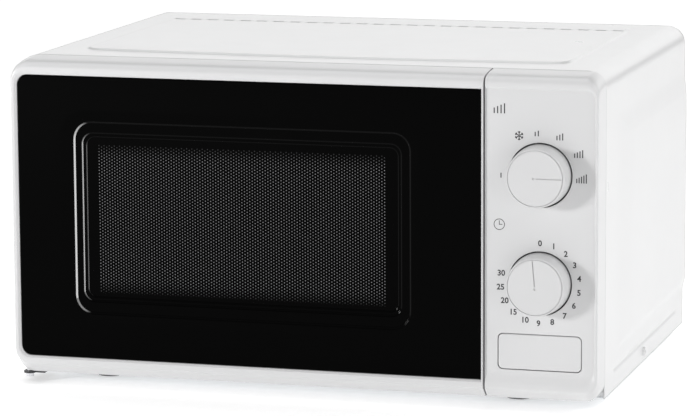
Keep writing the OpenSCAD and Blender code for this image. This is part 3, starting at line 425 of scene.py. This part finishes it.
# a slot in the hinge side lets the upper hinge arm pass
slot_mesh = bmesh.new()
slot_low = point(door_left - 3.0, 6.2, arm_low)
slot_high = point(hinge_axis_x + 4.8, moulding_back + 3.0, arm_high)
bmesh.ops.create_cube(slot_mesh, size=1.0, matrix=Matrix.Translation((slot_low + slot_high) / 2)
                      @ Matrix.Diagonal((*(slot_high - slot_low), 1.0)))
slot_cutter = build("slot_cutter", slot_mesh, white_plastic)
whole_frame = build("whole_frame", frame_mesh, white_plastic, 180.0)
slot_cut = whole_frame.modifiers.new("slot", "BOOLEAN")
slot_cut.object, slot_cut.operation, slot_cut.solver = slot_cutter, "DIFFERENCE", "EXACT"
bpy.context.view_layer.update()
slotted = bpy.data.meshes.new_from_object(whole_frame.evaluated_get(bpy.context.evaluated_depsgraph_get()))
frame_mesh = bmesh.new()
frame_mesh.from_mesh(slotted)
for scrap in (whole_frame, slot_cutter):
    bpy.data.objects.remove(scrap)
bpy.data.meshes.remove(slotted)
door_moulding = build("door_moulding", frame_mesh, white_plastic, 40.0)
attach(door_moulding, "door")
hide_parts("door_frame")

# ---- Door glass ----
# One sheet of black-backed glass fills the frame. The window is a shallow pan pressed into it with two
# rounded steps, and the perforated screen behind shows through it as rows of fine pale dots.
black_glass = Finish("black_glass", (0.0003, 0.0003, 0.0003), 0.06, Specular_IOR_Level=0.025,
                     Coat_Roughness=0.06, Coat_IOR=2.0)
glass_spot, (glass_x, _, glass_z) = black_glass.place()
column_pitch, hole_pitch = 0.00203, 0.00235
screen_low, screen_high = Vector((-0.1565, 0.075)), Vector((0.065, 0.185))


def hole_pattern(finish, x, z, radius):
    """1 in the holes of the perforated screen and 0 between them."""
    columns = (x - screen_low.x) / column_pitch
    column = finish.add("ShaderNodeMath", {"operation": "ROUND"}, {0: columns})
    rows = (z - screen_low.y) / hole_pitch + 0.5 * (column % 2.0)
    row = finish.add("ShaderNodeMath", {"operation": "ROUND"}, {0: rows})
    away = (((columns - column) * column_pitch) ** 2.0 + ((rows - row) * hole_pitch) ** 2.0) ** 0.5
    holes = 1.0 - away.ramp(radius * 0.72, radius * 1.2)
    inside = ((x > screen_low.x - 0.001) * (x < screen_high.x + 0.001)
              * (z > screen_low.y - 0.001) * (z < screen_high.y + 0.001))
    return holes * inside


screen_holes = hole_pattern(black_glass, glass_x, glass_z, 0.00040)
edge_fade = ((glass_z - screen_low.y).least(screen_high.y - glass_z)).ramp(-0.002, 0.010)
tilt_x, tilt_y = [black_glass.add("ShaderNodeSeparateXYZ", {}, {
    "Vector": black_glass.add("ShaderNodeTexCoord", {}, {}, "Normal")}, axis) for axis in "XY"]
black_glass.set("Coat Weight", 0.04 * (tilt_y + 1.0).ramp(0.015, 0.12))
# Painted highlight: the walls of the window's steps that face right turn light grey and metallic, so the
# window's left side and upper left corner shine.
painted_highlight_edge = (tilt_y + 1.0).ramp(0.06, 0.14) * tilt_x.ramp(0.1, 0.45)
black_glass.set("Metallic", painted_highlight_edge)
dotted_black = black_glass.mix(
    screen_holes * (0.15 + 0.85 * edge_fade), (0.0004, 0.0004, 0.0004), (0.18, 0.18, 0.185))
black_glass.set("Base Color", black_glass.mix(painted_highlight_edge, dotted_black, (0.6, 0.6, 0.6)))
black_glass.set("Roughness", 0.05 + 0.04 * black_glass.noise(glass_spot, 25.0, 3.0) + 0.25 * screen_holes)
glass_mesh = bmesh.new()
glass_edge = ((-219.8, 23.8), (138.3, 237.2))
glass_r = (7.7, 0.3, 0.3, 7.7)
glass_rings = [outline(*glass_edge, glass_r, 2.95), outline(*glass_edge, glass_r, 0.25),
               outline((-219.55, 24.05), (138.1, 236.95), glass_r, 0.0),
               outline((-219.0, 24.6), (137.6, 236.4), glass_r, 0.0)]
# left, right, lower and upper edge, corner radius and depth of each line of the pressed window
window_lines = [
    (-187.6, 92.6, 49.4, 212.6, 20.5, 0.0),
    (-187, 92, 50, 212, 20, 0.0),
    (-184.5, 90, 52, 210, 18.5, 0.07),
    (-181, 88, 54.5, 207.5, 16.5, 0.3),
    (-176.4, 85.6, 57.4, 204.0, 14.0, 0.42),
    (-175.7, 85.0, 57.9, 203.4, 13.6, 0.62),
    (-174.7, 84.3, 58.5, 202.6, 13.1, 1.35),
    (-174.1, 83.8, 59.0, 202.1, 12.7, 1.5),
    (-170.2, 78.6, 66.2, 195.9, 8.7, 1.56),
    (-169.6, 78.0, 66.9, 195.2, 8.3, 1.68),
    (-168.9, 77.4, 67.6, 194.5, 7.8, 2.18),
    (-168.5, 77.0, 68.0, 194.1, 7.5, 2.26),
    (-166.9, 75.9, 69.5, 192.6, 6.8, 2.28),
    (-166.4, 75.5, 69.9, 192.2, 6.6, 2.36),
    (-165.9, 75.1, 70.4, 191.7, 6.3, 2.7),
    (-165.5, 74.8, 70.8, 191.3, 6.0, 2.76),
    (-164.8, 74.2, 71.4, 190.7, 5.6, 2.8),
]
glass_rings += [outline((x0, z0), (x1, z1), (r,) * 4, y) for x0, x1, z0, z1, r, y in window_lines]
loft(glass_mesh, glass_rings, close_last=True)
door_pane = build("door_pane", glass_mesh, black_glass, 60.0)
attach(door_pane, "door")
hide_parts("door_glass")

# ---- Control panel ----
# The panel beside the door is the same white ABS: a flat face with two round wells for the knobs, their
# insides painted dark grey as shade, and a cut-out for the button. It swells into the proud rim below and at
# the right, and screws to the cabinet.
panel_left, panel_right = 141.1, 225.0
knob_x, power_z, timer_z, button_z = 182.0, 176.1824, 96.8812, 45.759
well_r, well_depth = 23.7, 8.0
button_half = (30.9, 13.0)
button_slit = 0.5


def circle(x, z, r, y, sides=72):
    return [point(x + r * math.cos(2 * math.pi * i / sides), y, z + r * math.sin(2 * math.pi * i / sides))
            for i in range(sides)]


def fill(mesh, *loops):
    """Fills the flat face between an outer loop of points and the holes in it."""
    edges = []
    for loop in loops:
        row = [mesh.verts.new(p) for p in loop]
        edges += [mesh.edges.new((row[i], row[(i + 1) % len(row)])) for i in range(len(row))]
    bmesh.ops.triangle_fill(mesh, use_beauty=True, use_dissolve=False, edges=edges)


# Painted shade: a dark grey finish for the insides of the knob wells, standing for the shade that falls in
# them.
well_painted_shade = Finish("well_painted_shade", (0.10, 0.10, 0.105), 0.55)
well_spot, _ = well_painted_shade.place()
well_painted_shade.set("Base Color", well_painted_shade.mix(
    well_painted_shade.noise(well_spot, 60.0, 3.0), (0.09, 0.09, 0.095), (0.13, 0.13, 0.135)))
well_painted_shade.bump(well_painted_shade.noise(well_spot, 1200.0, 2.0), 0.00003, 0.5)

panel_mesh = bmesh.new()
panel_rings = [outline((panel_left + min(draw, 0.12), low), (panel_right - draw, high),
                       (cut_r, 11.0 - draw, 11.0 - draw, cut_r), y) for y, low, high, draw in moulding_rings]
panel_rings = [outline((panel_left + 2.5, 12.0), (panel_right - 2.5, 246.4), (0.3, 8.5, 8.5, 0.3), y)
               for y in (6.0, moulding_back)] + panel_rings
panel_rings += [
    outline((panel_left + 0.13, 20.6), (223.2, 240.6), (cut_r, 8.6, 8.0, cut_r), rim_y),
    outline((panel_left + 0.14, 22.5), (222.9, 239.6), (cut_r, 8.0, 7.2, cut_r), -1.05),
    outline((panel_left + 0.15, 24.6), (222.6, 238.9), (cut_r, 7.2, 6.7, cut_r), -0.72),
    outline((panel_left + 0.16, 27.0), (222.4, 238.4), (cut_r, 6.6, 6.3, cut_r), -0.3),
    outline((panel_left + 0.17, 29.2), (222.2, 238.1), (cut_r, 6.2, 6.0, cut_r), -0.06)]
face_outline = outline((panel_left + 0.18, 31.0), (222.0, 237.9), (cut_r, 6.0, 6.0, cut_r), 0.0)
loft(panel_mesh, panel_rings + [face_outline])
slot_half = (button_half[0] + button_slit, button_half[1] + button_slit)


def button_loop(grow, y, r=3.9):
    return outline((knob_x - slot_half[0] - grow, button_z - slot_half[1] - grow),
                   (knob_x + slot_half[0] + grow, button_z + slot_half[1] + grow), (r + grow,) * 4, y, 6)


well_edge, slot_edge = 0.25, 0.15                   # chamfers round the wells and the cut-out
fill(panel_mesh, face_outline, circle(knob_x, power_z, well_r + well_edge, 0.0),
     circle(knob_x, timer_z, well_r + well_edge, 0.0), button_loop(slot_edge, 0.0))
for z in (power_z, timer_z):
    loft(panel_mesh, [circle(knob_x, z, well_r + well_edge, 0.0), circle(knob_x, z, well_r, well_edge),
                      circle(knob_x, z, well_r, well_depth)], close_last=True)
loft(panel_mesh, [button_loop(slot_edge, 0.0), button_loop(0.0, slot_edge), button_loop(0.0, 4.0)])
panel_moulding = build("panel_moulding", panel_mesh, white_plastic, 40.0)
# The faces inside the knob wells get the painted shade finish.
panel_moulding.data.materials.append(well_painted_shade.material)
for face in panel_moulding.data.polygons:
    deep = face.center.y > point(0, 0.2, 0).y
    near_knob = min(math.hypot(face.center.x * 1000 - knob_x, face.center.z * 1000 - z)
                    for z in (power_z, timer_z))
    if deep and near_knob < well_r + 0.2 and face.center.y < point(0, well_depth + 0.1, 0).y:
        face.material_index = 1
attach(panel_moulding, "cabinet")
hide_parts("control_panel")

# ---- Door button ----
# A long push button of the same plastic lies flush in the panel, with a fine gap around it and rounded
# edges. A spring behind it brings it back.
button_mesh = bmesh.new()


def button_outline(shrink, y):
    half_x, half_z = button_half[0] - shrink, button_half[1] - shrink
    return outline((knob_x - half_x, button_z - half_z), (knob_x + half_x, button_z + half_z),
                   (3.6 - shrink,) * 4, y, 6)


# how far in from the side, and how deep, each line round the button is
button_rings = ((2.0, 2.5), (2.0, 11.9), (0.0, 11.9), (0.0, 0.9), (0.12, 0.35), (0.45, 0.08), (1.0, 0.0))
loft(button_mesh, [button_outline(shrink, y) for shrink, y in button_rings], close_last=True)
push_button = build("push_button", button_mesh, white_plastic, 40.0)
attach(push_button, "button")
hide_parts("open_button")

# ---- Return spring ----
# A coil of round spring wire, nickel plated, stands behind the button and pushes it out again.
spring_low, spring_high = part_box("button_spring")
wire_r, spring_turns, wire_sides, turn_steps = 0.0004, 7, 8, 24
spring_middle = (spring_low + spring_high) / 2
coil_r = (spring_high.x - spring_low.x) / 2 - wire_r
spring_mesh = bmesh.new()
spring_rows = []
spring_steps = spring_turns * turn_steps
for i in range(spring_steps + 1):
    turn = 2 * math.pi * i / turn_steps
    y = spring_low.y + wire_r + (spring_high.y - spring_low.y - 2 * wire_r) * i / spring_steps
    spring_row = []
    for k in range(wire_sides):
        side = 2 * math.pi * k / wire_sides
        r = coil_r + wire_r * math.cos(side)
        spring_row.append(spring_mesh.verts.new((
            spring_middle.x + r * math.cos(turn), y + wire_r * math.sin(side),
            spring_middle.z + r * math.sin(turn))))
    spring_rows.append(spring_row)
for near, far in zip(spring_rows, spring_rows[1:]):
    for k in range(wire_sides):
        spring_mesh.faces.new([near[k], near[(k + 1) % wire_sides], far[(k + 1) % wire_sides], far[k]])
spring_mesh.faces.new(spring_rows[0])
spring_mesh.faces.new(spring_rows[-1])
spring_wire = Finish("spring_wire", (0.70, 0.70, 0.72), 0.25, 1.0)
wire_spot, _ = spring_wire.place()
spring_wire.set("Base Color", spring_wire.mix(
    spring_wire.noise(wire_spot, 150.0, 3.0), (0.64, 0.64, 0.66), (0.74, 0.74, 0.76)))
spring_wire.set("Roughness", 0.2 + 0.12 * spring_wire.noise(wire_spot, 300.0, 3.0))
return_spring = build("return_spring", spring_mesh, spring_wire, 60.0)
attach(return_spring, "cabinet")
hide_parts("button_spring")
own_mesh(return_spring)

# ---- Knobs ----
# Each knob is a turned-looking cap in white plastic: a tapered skirt, a rounded lip and a flat grey-white
# disc let into it, with a fine pointer line cut from the middle to the edge. It pushes onto its shaft.

# depth and radius of each line round the cap, from the foot of the skirt to the groove round the disc
knob_profile = [(7.6, 22.5), (0.0, 22.7), (-6.0, 22.35), (-12.0, 21.95), (-15.0, 21.7), (-16.1, 21.45),
                (-16.7, 21.1), (-16.95, 20.8), (-17.0, 20.55), (-16.9, 20.46), (-16.2, 20.44), (-16.2, 20.06),
                (-16.85, 20.02)]
knob_disc_r, disc_y, knob_sides = 19.95, -16.9, 96
dimple_r, dimple_u, dimple_sides = 0.9, -1.2, 12
pointer_half, pointer_start, pointer_end = 0.38, 0.6, 19.4
knob_finish = Finish("knob_plastic", (0.76, 0.76, 0.77), 0.38, Coat_Weight=0.15, Coat_Roughness=0.2)
knob_spot, _ = knob_finish.place()
knob_finish.set("Roughness", 0.36 + 0.08 * knob_finish.noise(knob_spot, 80.0, 3.0))
knob_finish.set("Base Color", knob_finish.mix(
    knob_finish.noise(knob_spot, 30.0, 2.0), (0.575, 0.575, 0.58), (0.595, 0.595, 0.60)))
knob_finish.bump(knob_finish.noise(knob_spot, 1100.0, 2.0), 0.00002, 0.4)
for name, body, z, lean in (("power", "power_dial", power_z, 0.0),
                            ("timer", "timer_dial", timer_z, math.radians(95))):
    knob_mesh = bmesh.new()
    disc_edge = circle(knob_x, z, knob_disc_r, disc_y, knob_sides)
    loft(knob_mesh, [circle(knob_x, z, r, y, knob_sides) for y, r in knob_profile] + [disc_edge])

    def turned(u, v, y):
        """A place on the disc, u along the pointer and v across it."""
        return point(knob_x + u * math.cos(lean) - v * math.sin(lean), y,
                     z + u * math.sin(lean) + v * math.cos(lean))

    def groove(y):
        return [turned(u, v, y) for u, v in ((pointer_start, -pointer_half), (pointer_end, -pointer_half),
                                             (pointer_end, pointer_half), (pointer_start, pointer_half))]

    def dimple(r, y):
        turns = [2 * math.pi * a / dimple_sides for a in range(dimple_sides)]
        return [turned(dimple_u + r * math.cos(a), r * math.sin(a), y) for a in turns]

    fill(knob_mesh, disc_edge, groove(disc_y), dimple(dimple_r, disc_y))
    loft(knob_mesh, [groove(disc_y), groove(disc_y + 0.9)], close_last=True)
    loft(knob_mesh, [dimple(dimple_r, disc_y), dimple(dimple_r - 0.15, disc_y + 0.6)], close_last=True)
    cap = build(name + "_knob_cap", knob_mesh, knob_finish, 35.0)
    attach(cap, body)
    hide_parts(name + "_knob")

# ---- Printed marks ----
# Scales and symbols are pad printed on the panel in dark grey ink, a few hundredths of a millimetre thick:
# minutes round the lower dial, rising bars and a snowflake for the power steps, and two small headings.
ink = Finish("panel_ink", (0.02, 0.02, 0.022), 0.55)
ink_spot, _ = ink.place()
ink.set("Base Color", ink.mix(ink.noise(ink_spot, 900.0, 2.0), (0.016, 0.016, 0.018), (0.03, 0.03, 0.033)))
ink_back, ink_front = 0.005, -0.035


def print_mark(name, loops):
    """A thin layer of ink with the given closed outlines in x and z."""
    mesh = bmesh.new()
    for loop in loops:
        loft(mesh, [[point(x, y, z) for x, z in loop] for y in (ink_back, ink_front)], close_last=True)
    mark = build(name, mesh, ink, 30.0)
    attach(mark, "cabinet")


def stroke(start, end, width):
    """The outline of a straight stroke."""
    (x0, z0), (x1, z1) = start, end
    length = math.hypot(x1 - x0, z1 - z0)
    nx, nz = -(z1 - z0) / length * width / 2, (x1 - x0) / length * width / 2
    return [(x0 + nx, z0 + nz), (x0 - nx, z0 - nz), (x1 - nx, z1 - nz), (x1 + nx, z1 + nz)]


def bars(x, z, count, pitch=2.5, first=2.9, rise=0.95, width=0.8):
    """Upright bars that grow to the right, about the middle x and from the foot z."""
    places = [x + pitch * (i - (count - 1) / 2) for i in range(count)]
    return [stroke((place, z), (place, z + first + rise * i), width) for i, place in enumerate(places)]


power_marks = bars(152.9, 173.5, 1, first=3.6)
power_marks += bars(179.3, 204.6, 2, 2.3, 3.2, 0.9)
power_marks += bars(196.3, 202.2, 3, 2.1, 3.3, 0.9)
power_marks += bars(210.2, 189.9, 4, 1.95, 3.2, 0.85)
power_marks += bars(212.4, 171.6, 5, 1.75, 3.2, 0.85)
power_marks += bars(151.6, 220.4, 4, 2.55, 4.1, 1.1, 0.85)

flake_x, flake_z, flake_r = 166.3, 204.6, 3.3      # snowflake: defrost
for i in range(6):
    turn = math.radians(90 + 60 * i)
    ux, uz = math.cos(turn), math.sin(turn)
    power_marks.append(stroke((flake_x + 0.25 * ux, flake_z + 0.25 * uz),
                              (flake_x + flake_r * ux, flake_z + flake_r * uz), 0.68))
    for side in (-1, 1):
        branch = turn + side * math.radians(48)
        foot_x, foot_z = flake_x + 2.1 * ux, flake_z + 2.1 * uz
        tip = (foot_x + 1.25 * math.cos(branch), foot_z + 1.25 * math.sin(branch))
        power_marks.append(stroke((foot_x, foot_z), tip, 0.6))
print_mark("power_scale_print", power_marks)


def ring_band(x, z, r, width, sides=40):
    """A ring of short strokes that meet."""
    turns = [2 * math.pi * i / sides for i in range(sides)]
    spots = [(x + r * math.cos(turn), z + r * math.sin(turn)) for turn in turns]
    return [stroke(spots[i], spots[(i + 1) % sides], width) for i in range(sides)]


clock_x, clock_z, clock_line = 151.7, 139.3, 0.5
clock_marks = ring_band(clock_x, clock_z, 3.9, clock_line)
clock_marks.append(stroke((clock_x, clock_z - 0.3), (clock_x, clock_z + 2.8), clock_line))
clock_marks.append(stroke((clock_x - 0.2, clock_z), (clock_x + 2.3, clock_z), clock_line))
print_mark("clock_print", clock_marks)

minutes = [0, 1, 2, 3, 4, 5, 6, 7, 8, 9, 10, 15, 20, 25, 30]
minute_step, minute_r, digit_height = math.radians(20.2), 29.5, 4.1
digit_share = 0.7                                   # height of a digit as a share of the type size
for i, value in enumerate(minutes):
    text = bpy.data.curves.new("minute_%d" % value, "FONT")
    text.body, text.align_x, text.align_y = str(value), "CENTER", "CENTER"
    text.size = digit_height / digit_share / 1000
    text.extrude, text.resolution_u, text.offset = 0.00002, 3, 0.00016
    digit = bpy.data.objects.new("minute_%d_curve" % value, text)
    bpy.context.scene.collection.objects.link(digit)
    bpy.context.view_layer.update()
    drawn = bpy.data.meshes.new_from_object(digit.evaluated_get(bpy.context.evaluated_depsgraph_get()))
    bpy.data.objects.remove(digit)
    turn = minute_step * i
    spot = point(knob_x + minute_r * math.sin(turn), -0.012, timer_z + minute_r * math.cos(turn))
    drawn.transform(Matrix.Translation(spot) @ Matrix.Rotation(math.pi / 2, 4, "X"))
    digit_mesh = bmesh.new()
    digit_mesh.from_mesh(drawn)
    bpy.data.meshes.remove(drawn)
    digit = build("minute_%d_print" % value, digit_mesh, ink, 30.0)
    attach(digit, "cabinet")

# ---- Sheet metal inside ----
# Base, rear panel, duct, motor shells and clamp are bare zinc-plated steel, pressed and spot welded. The
# hinges are near-black, painted shade for the dark they sit in by the door's corners, and the cabinet's
# screws are white like the sheet they hold.
def dress(finish, *nodes):
    """Gives CAD pieces a finish."""
    for node in nodes:
        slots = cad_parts[node].data.materials
        slots.clear()
        slots.append(finish.material)


zinc_steel = Finish("zinc_steel", (0.62, 0.64, 0.66), 0.38, 1.0)
zinc_spot, _ = zinc_steel.place()
spangle = zinc_steel.add("ShaderNodeTexVoronoi", {"feature": "F1"}, {"Vector": zinc_spot, "Scale": 130.0})
zinc_steel.set("Base Color", zinc_steel.mix(spangle, (0.56, 0.58, 0.60), (0.68, 0.70, 0.72)))
zinc_steel.set("Roughness", 0.3 + 0.18 * zinc_steel.noise(zinc_spot, 60.0, 4.0))
zinc_steel.bump(zinc_steel.noise(zinc_spot, 500.0, 3.0), 0.00003, 0.4)
dress(zinc_steel, "base_plate", "rear_panel", "waveguide", "magnetron_filter_box", "fan_motor",
      "capacitor_clamp", "turntable_motor")

# Painted shade: the hinges are near-black, standing for the shade they sit in beside the door.
hinge_painted_shade = Finish("hinge_painted_shade", (0.05, 0.05, 0.052), 0.45, 0.6)
hinge_spot, _ = hinge_painted_shade.place()
hinge_painted_shade.set("Base Color", hinge_painted_shade.mix(
    hinge_painted_shade.noise(hinge_spot, 90.0, 3.0), (0.04, 0.04, 0.042), (0.07, 0.07, 0.073)))
hinge_painted_shade.set("Roughness", 0.4 + 0.14 * hinge_painted_shade.noise(hinge_spot, 150.0, 3.0))
dress(hinge_painted_shade, "upper_hinge", "lower_hinge")
dress(white_paint, "cabinet_screws")

# ---- Cavity ----
# The oven cavity and the front plate around its mouth are one steel box, coated in speckled light grey
# epoxy enamel that wipes clean.
enamel = Finish("cavity_enamel", (0.66, 0.67, 0.68), 0.36, Coat_Weight=0.2)
enamel_spot, _ = enamel.place()
speckle = enamel.noise(enamel_spot, 900.0, 2.0).ramp(0.58, 0.72)
enamel.set("Base Color", enamel.mix(speckle, (0.70, 0.71, 0.72), (0.44, 0.45, 0.46)))
enamel.set("Roughness", 0.34 + 0.1 * enamel.noise(enamel_spot, 70.0, 3.0))
enamel.bump(enamel.noise(enamel_spot, 350.0, 2.0), 0.00005, 0.4)
dress(enamel, "cavity_box", "front_plate")

# ---- Door screen and inner sheets ----
# Behind the glass lies the black-enamelled screen with its field of small holes, then a clear film over
# the window, and a dark choke cover snapped in round it. The hook bar, the switches and small fittings are
# the same dark plastic.
screen_steel = Finish("screen_steel", (0.02, 0.02, 0.021), 0.42)
screen_spot, (screen_x, _, screen_z) = screen_steel.place()
holes = hole_pattern(screen_steel, screen_x, screen_z, 0.0007)
screen_steel.set("Base Color", screen_steel.mix(holes, (0.025, 0.025, 0.026), (0.16, 0.16, 0.165)))
screen_steel.set("Roughness", 0.38 + 0.1 * screen_steel.noise(screen_spot, 90.0, 3.0))
screen_steel.bump(1.0 - holes, 0.0003, 0.6)
dress(screen_steel, "door_screen")

clear_film = Finish("clear_film", (0.92, 0.94, 0.95), 0.05, IOR=1.45, Alpha=0.16)
film_spot, _ = clear_film.place()
clear_film.set("Roughness", 0.04 + 0.08 * clear_film.noise(film_spot, 18.0, 3.0))
clear_film.bump(clear_film.noise(film_spot, 12.0, 2.0), 0.0004, 0.2)
dress(clear_film, "inner_window")

grey_plastic = Finish("grey_plastic", (0.17, 0.17, 0.18), 0.48)
grey_spot, _ = grey_plastic.place()
grey_plastic.set("Base Color", grey_plastic.mix(
    grey_plastic.noise(grey_spot, 25.0, 3.0), (0.155, 0.155, 0.163), (0.19, 0.19, 0.2)))
grey_plastic.set("Roughness", 0.42 + 0.12 * grey_plastic.noise(grey_spot, 80.0, 3.0))
grey_plastic.bump(grey_plastic.noise(grey_spot, 1200.0, 2.0), 0.00004, 0.6)
dress(grey_plastic, "choke_cover", "hook_bar", "interlock_switches", "cord_gland", "thermal_cutouts",
      "high_voltage_diode")

# ---- Nylon parts and feet ----
# Latch parts, timer case, fan, lamp holder, roller ring, wheels and coupler are moulded in natural nylon,
# and the feet in dark grey rubber.
white_nylon = Finish("white_nylon", (0.80, 0.79, 0.76), 0.45)
nylon_spot, _ = white_nylon.place()
white_nylon.set("Base Color", white_nylon.mix(
    white_nylon.noise(nylon_spot, 35.0, 3.0), (0.78, 0.77, 0.74), (0.83, 0.82, 0.79)))
white_nylon.set("Roughness", 0.4 + 0.12 * white_nylon.noise(nylon_spot, 90.0, 3.0))
white_nylon.bump(white_nylon.noise(nylon_spot, 1000.0, 2.0), 0.00003, 0.5)
dress(white_nylon, "interlock_bracket", "release_lever", "timer_unit", "fan_shroud", "fan_blades",
      "lamp_holder", "turntable_coupler", "roller_ring", "roller_wheel_1", "roller_wheel_2", "roller_wheel_3")

foot_rubber = Finish("foot_rubber", (0.16, 0.16, 0.165), 0.6)
rubber_spot, _ = foot_rubber.place()
foot_rubber.set("Base Color", foot_rubber.mix(
    foot_rubber.noise(rubber_spot, 60.0, 3.0), (0.14, 0.14, 0.145), (0.19, 0.19, 0.195)))
foot_rubber.bump(foot_rubber.noise(rubber_spot, 1500.0, 2.0), 0.00005, 0.6)
dress(foot_rubber, "feet")

# ---- Bright fasteners and shafts ----
# Hinge pins and shafts are turned from steel, the hook spring is wound from wire and the bell is pressed
# from sheet. These, like the shell of the fuse, are nickel plated.
bright_steel = Finish("bright_steel", (0.70, 0.70, 0.72), 0.22, 1.0)
bright_spot, _ = bright_steel.place()
bright_steel.set("Base Color", bright_steel.mix(
    bright_steel.noise(bright_spot, 120.0, 3.0), (0.66, 0.66, 0.68), (0.74, 0.74, 0.76)))
bright_steel.set("Roughness", 0.18 + 0.12 * bright_steel.noise(bright_spot, 200.0, 4.0))
dress(bright_steel, "hinge_pins", "fan_shaft", "timer_shaft", "power_shaft", "button_spring", "hook_spring",
      "timer_bell", "mains_fuse")

# ---- Power parts ----
# The magnetron's fins and frame and the capacitor can are aluminium, the magnetron's tube and the
# enamelled windings copper, the transformer core lacquered iron sheets, the duct cover mica, and the
# filter board green laminate.
aluminium = Finish("aluminium", (0.75, 0.76, 0.78), 0.35, 1.0)
aluminium_spot, _ = aluminium.place()
aluminium.set("Base Color", aluminium.mix(
    aluminium.noise(aluminium_spot, 50.0, 3.0), (0.72, 0.73, 0.75), (0.79, 0.80, 0.82)))
aluminium.set("Roughness", 0.28 + 0.16 * aluminium.noise(aluminium_spot, 140.0, 4.0))
dress(aluminium, "magnetron_fins", "capacitor", "magnetron_frame")

copper = Finish("copper", (0.70, 0.34, 0.17), 0.3, 1.0)
copper_spot, (_, _, copper_z) = copper.place()
wire_turns = copper_z * 1400.0 * math.pi
wire_rows = wire_turns.math("SINE", wire_turns)
copper.set("Base Color", copper.mix(
    copper.noise(copper_spot, 70.0, 3.0), (0.64, 0.29, 0.14), (0.76, 0.40, 0.2)))
copper.set("Roughness", 0.26 + 0.14 * copper.noise(copper_spot, 160.0, 3.0))
copper.bump(wire_rows, 0.0002, 0.5)
dress(copper, "transformer_windings", "magnetron_tube")

core_iron = Finish("core_iron", (0.16, 0.16, 0.18), 0.5, 0.4)
core_spot, (_, core_y, _) = core_iron.place()
sheet_turns = core_y * 2000.0 * math.pi
sheets = sheet_turns.math("SINE", sheet_turns)
core_iron.set("Base Color", core_iron.mix(
    core_iron.noise(core_spot, 60.0, 4.0), (0.13, 0.13, 0.145), (0.21, 0.21, 0.23)))
core_iron.set("Roughness", 0.42 + 0.2 * core_iron.noise(core_spot, 110.0, 3.0))
core_iron.bump(sheets, 0.0001, 0.5)
dress(core_iron, "transformer_core")

mica = Finish("mica", (0.62, 0.52, 0.38), 0.42, Coat_Weight=0.2)
mica_spot, _ = mica.place()
flakes = mica.add("ShaderNodeTexVoronoi", {"feature": "F1"}, {"Vector": mica_spot, "Scale": 240.0})
mica.set("Base Color", mica.mix(flakes, (0.55, 0.45, 0.32), (0.72, 0.62, 0.47)))
mica.set("Roughness", 0.34 + 0.2 * mica.noise(mica_spot, 90.0, 3.0))
dress(mica, "waveguide_cover")

board_green = Finish("board_green", (0.04, 0.20, 0.09), 0.4, Coat_Weight=0.3)
board_spot, _ = board_green.place()
tracks = board_green.add("ShaderNodeTexVoronoi", {"feature": "DISTANCE_TO_EDGE"},
                         {"Vector": board_spot, "Scale": 160.0})
board_green.set("Base Color", board_green.mix(
    tracks.ramp(0.02, 0.09), (0.03, 0.15, 0.07), (0.06, 0.26, 0.12)))
board_green.set("Roughness", 0.36 + 0.1 * board_green.noise(board_spot, 90.0, 2.0))
dress(board_green, "noise_filter_board")

# ---- Turntable tray and lamp ----
# The tray is clear tempered glass with a raised rim, pressed in one piece. The lamp bulb is clear glass
# too.
tray_glass = Finish("tray_glass", (0.88, 0.95, 0.93), 0.06, IOR=1.5, Alpha=0.38, Coat_Weight=0.4)
tray_spot, _ = tray_glass.place()
tray_glass.set("Roughness", 0.05 + 0.06 * tray_glass.noise(tray_spot, 20.0, 3.0))
tray_glass.set("Base Color", tray_glass.mix(
    tray_glass.noise(tray_spot, 9.0, 2.0), (0.84, 0.93, 0.91), (0.9, 0.96, 0.94)))
dress(tray_glass, "glass_tray", "lamp_bulb")
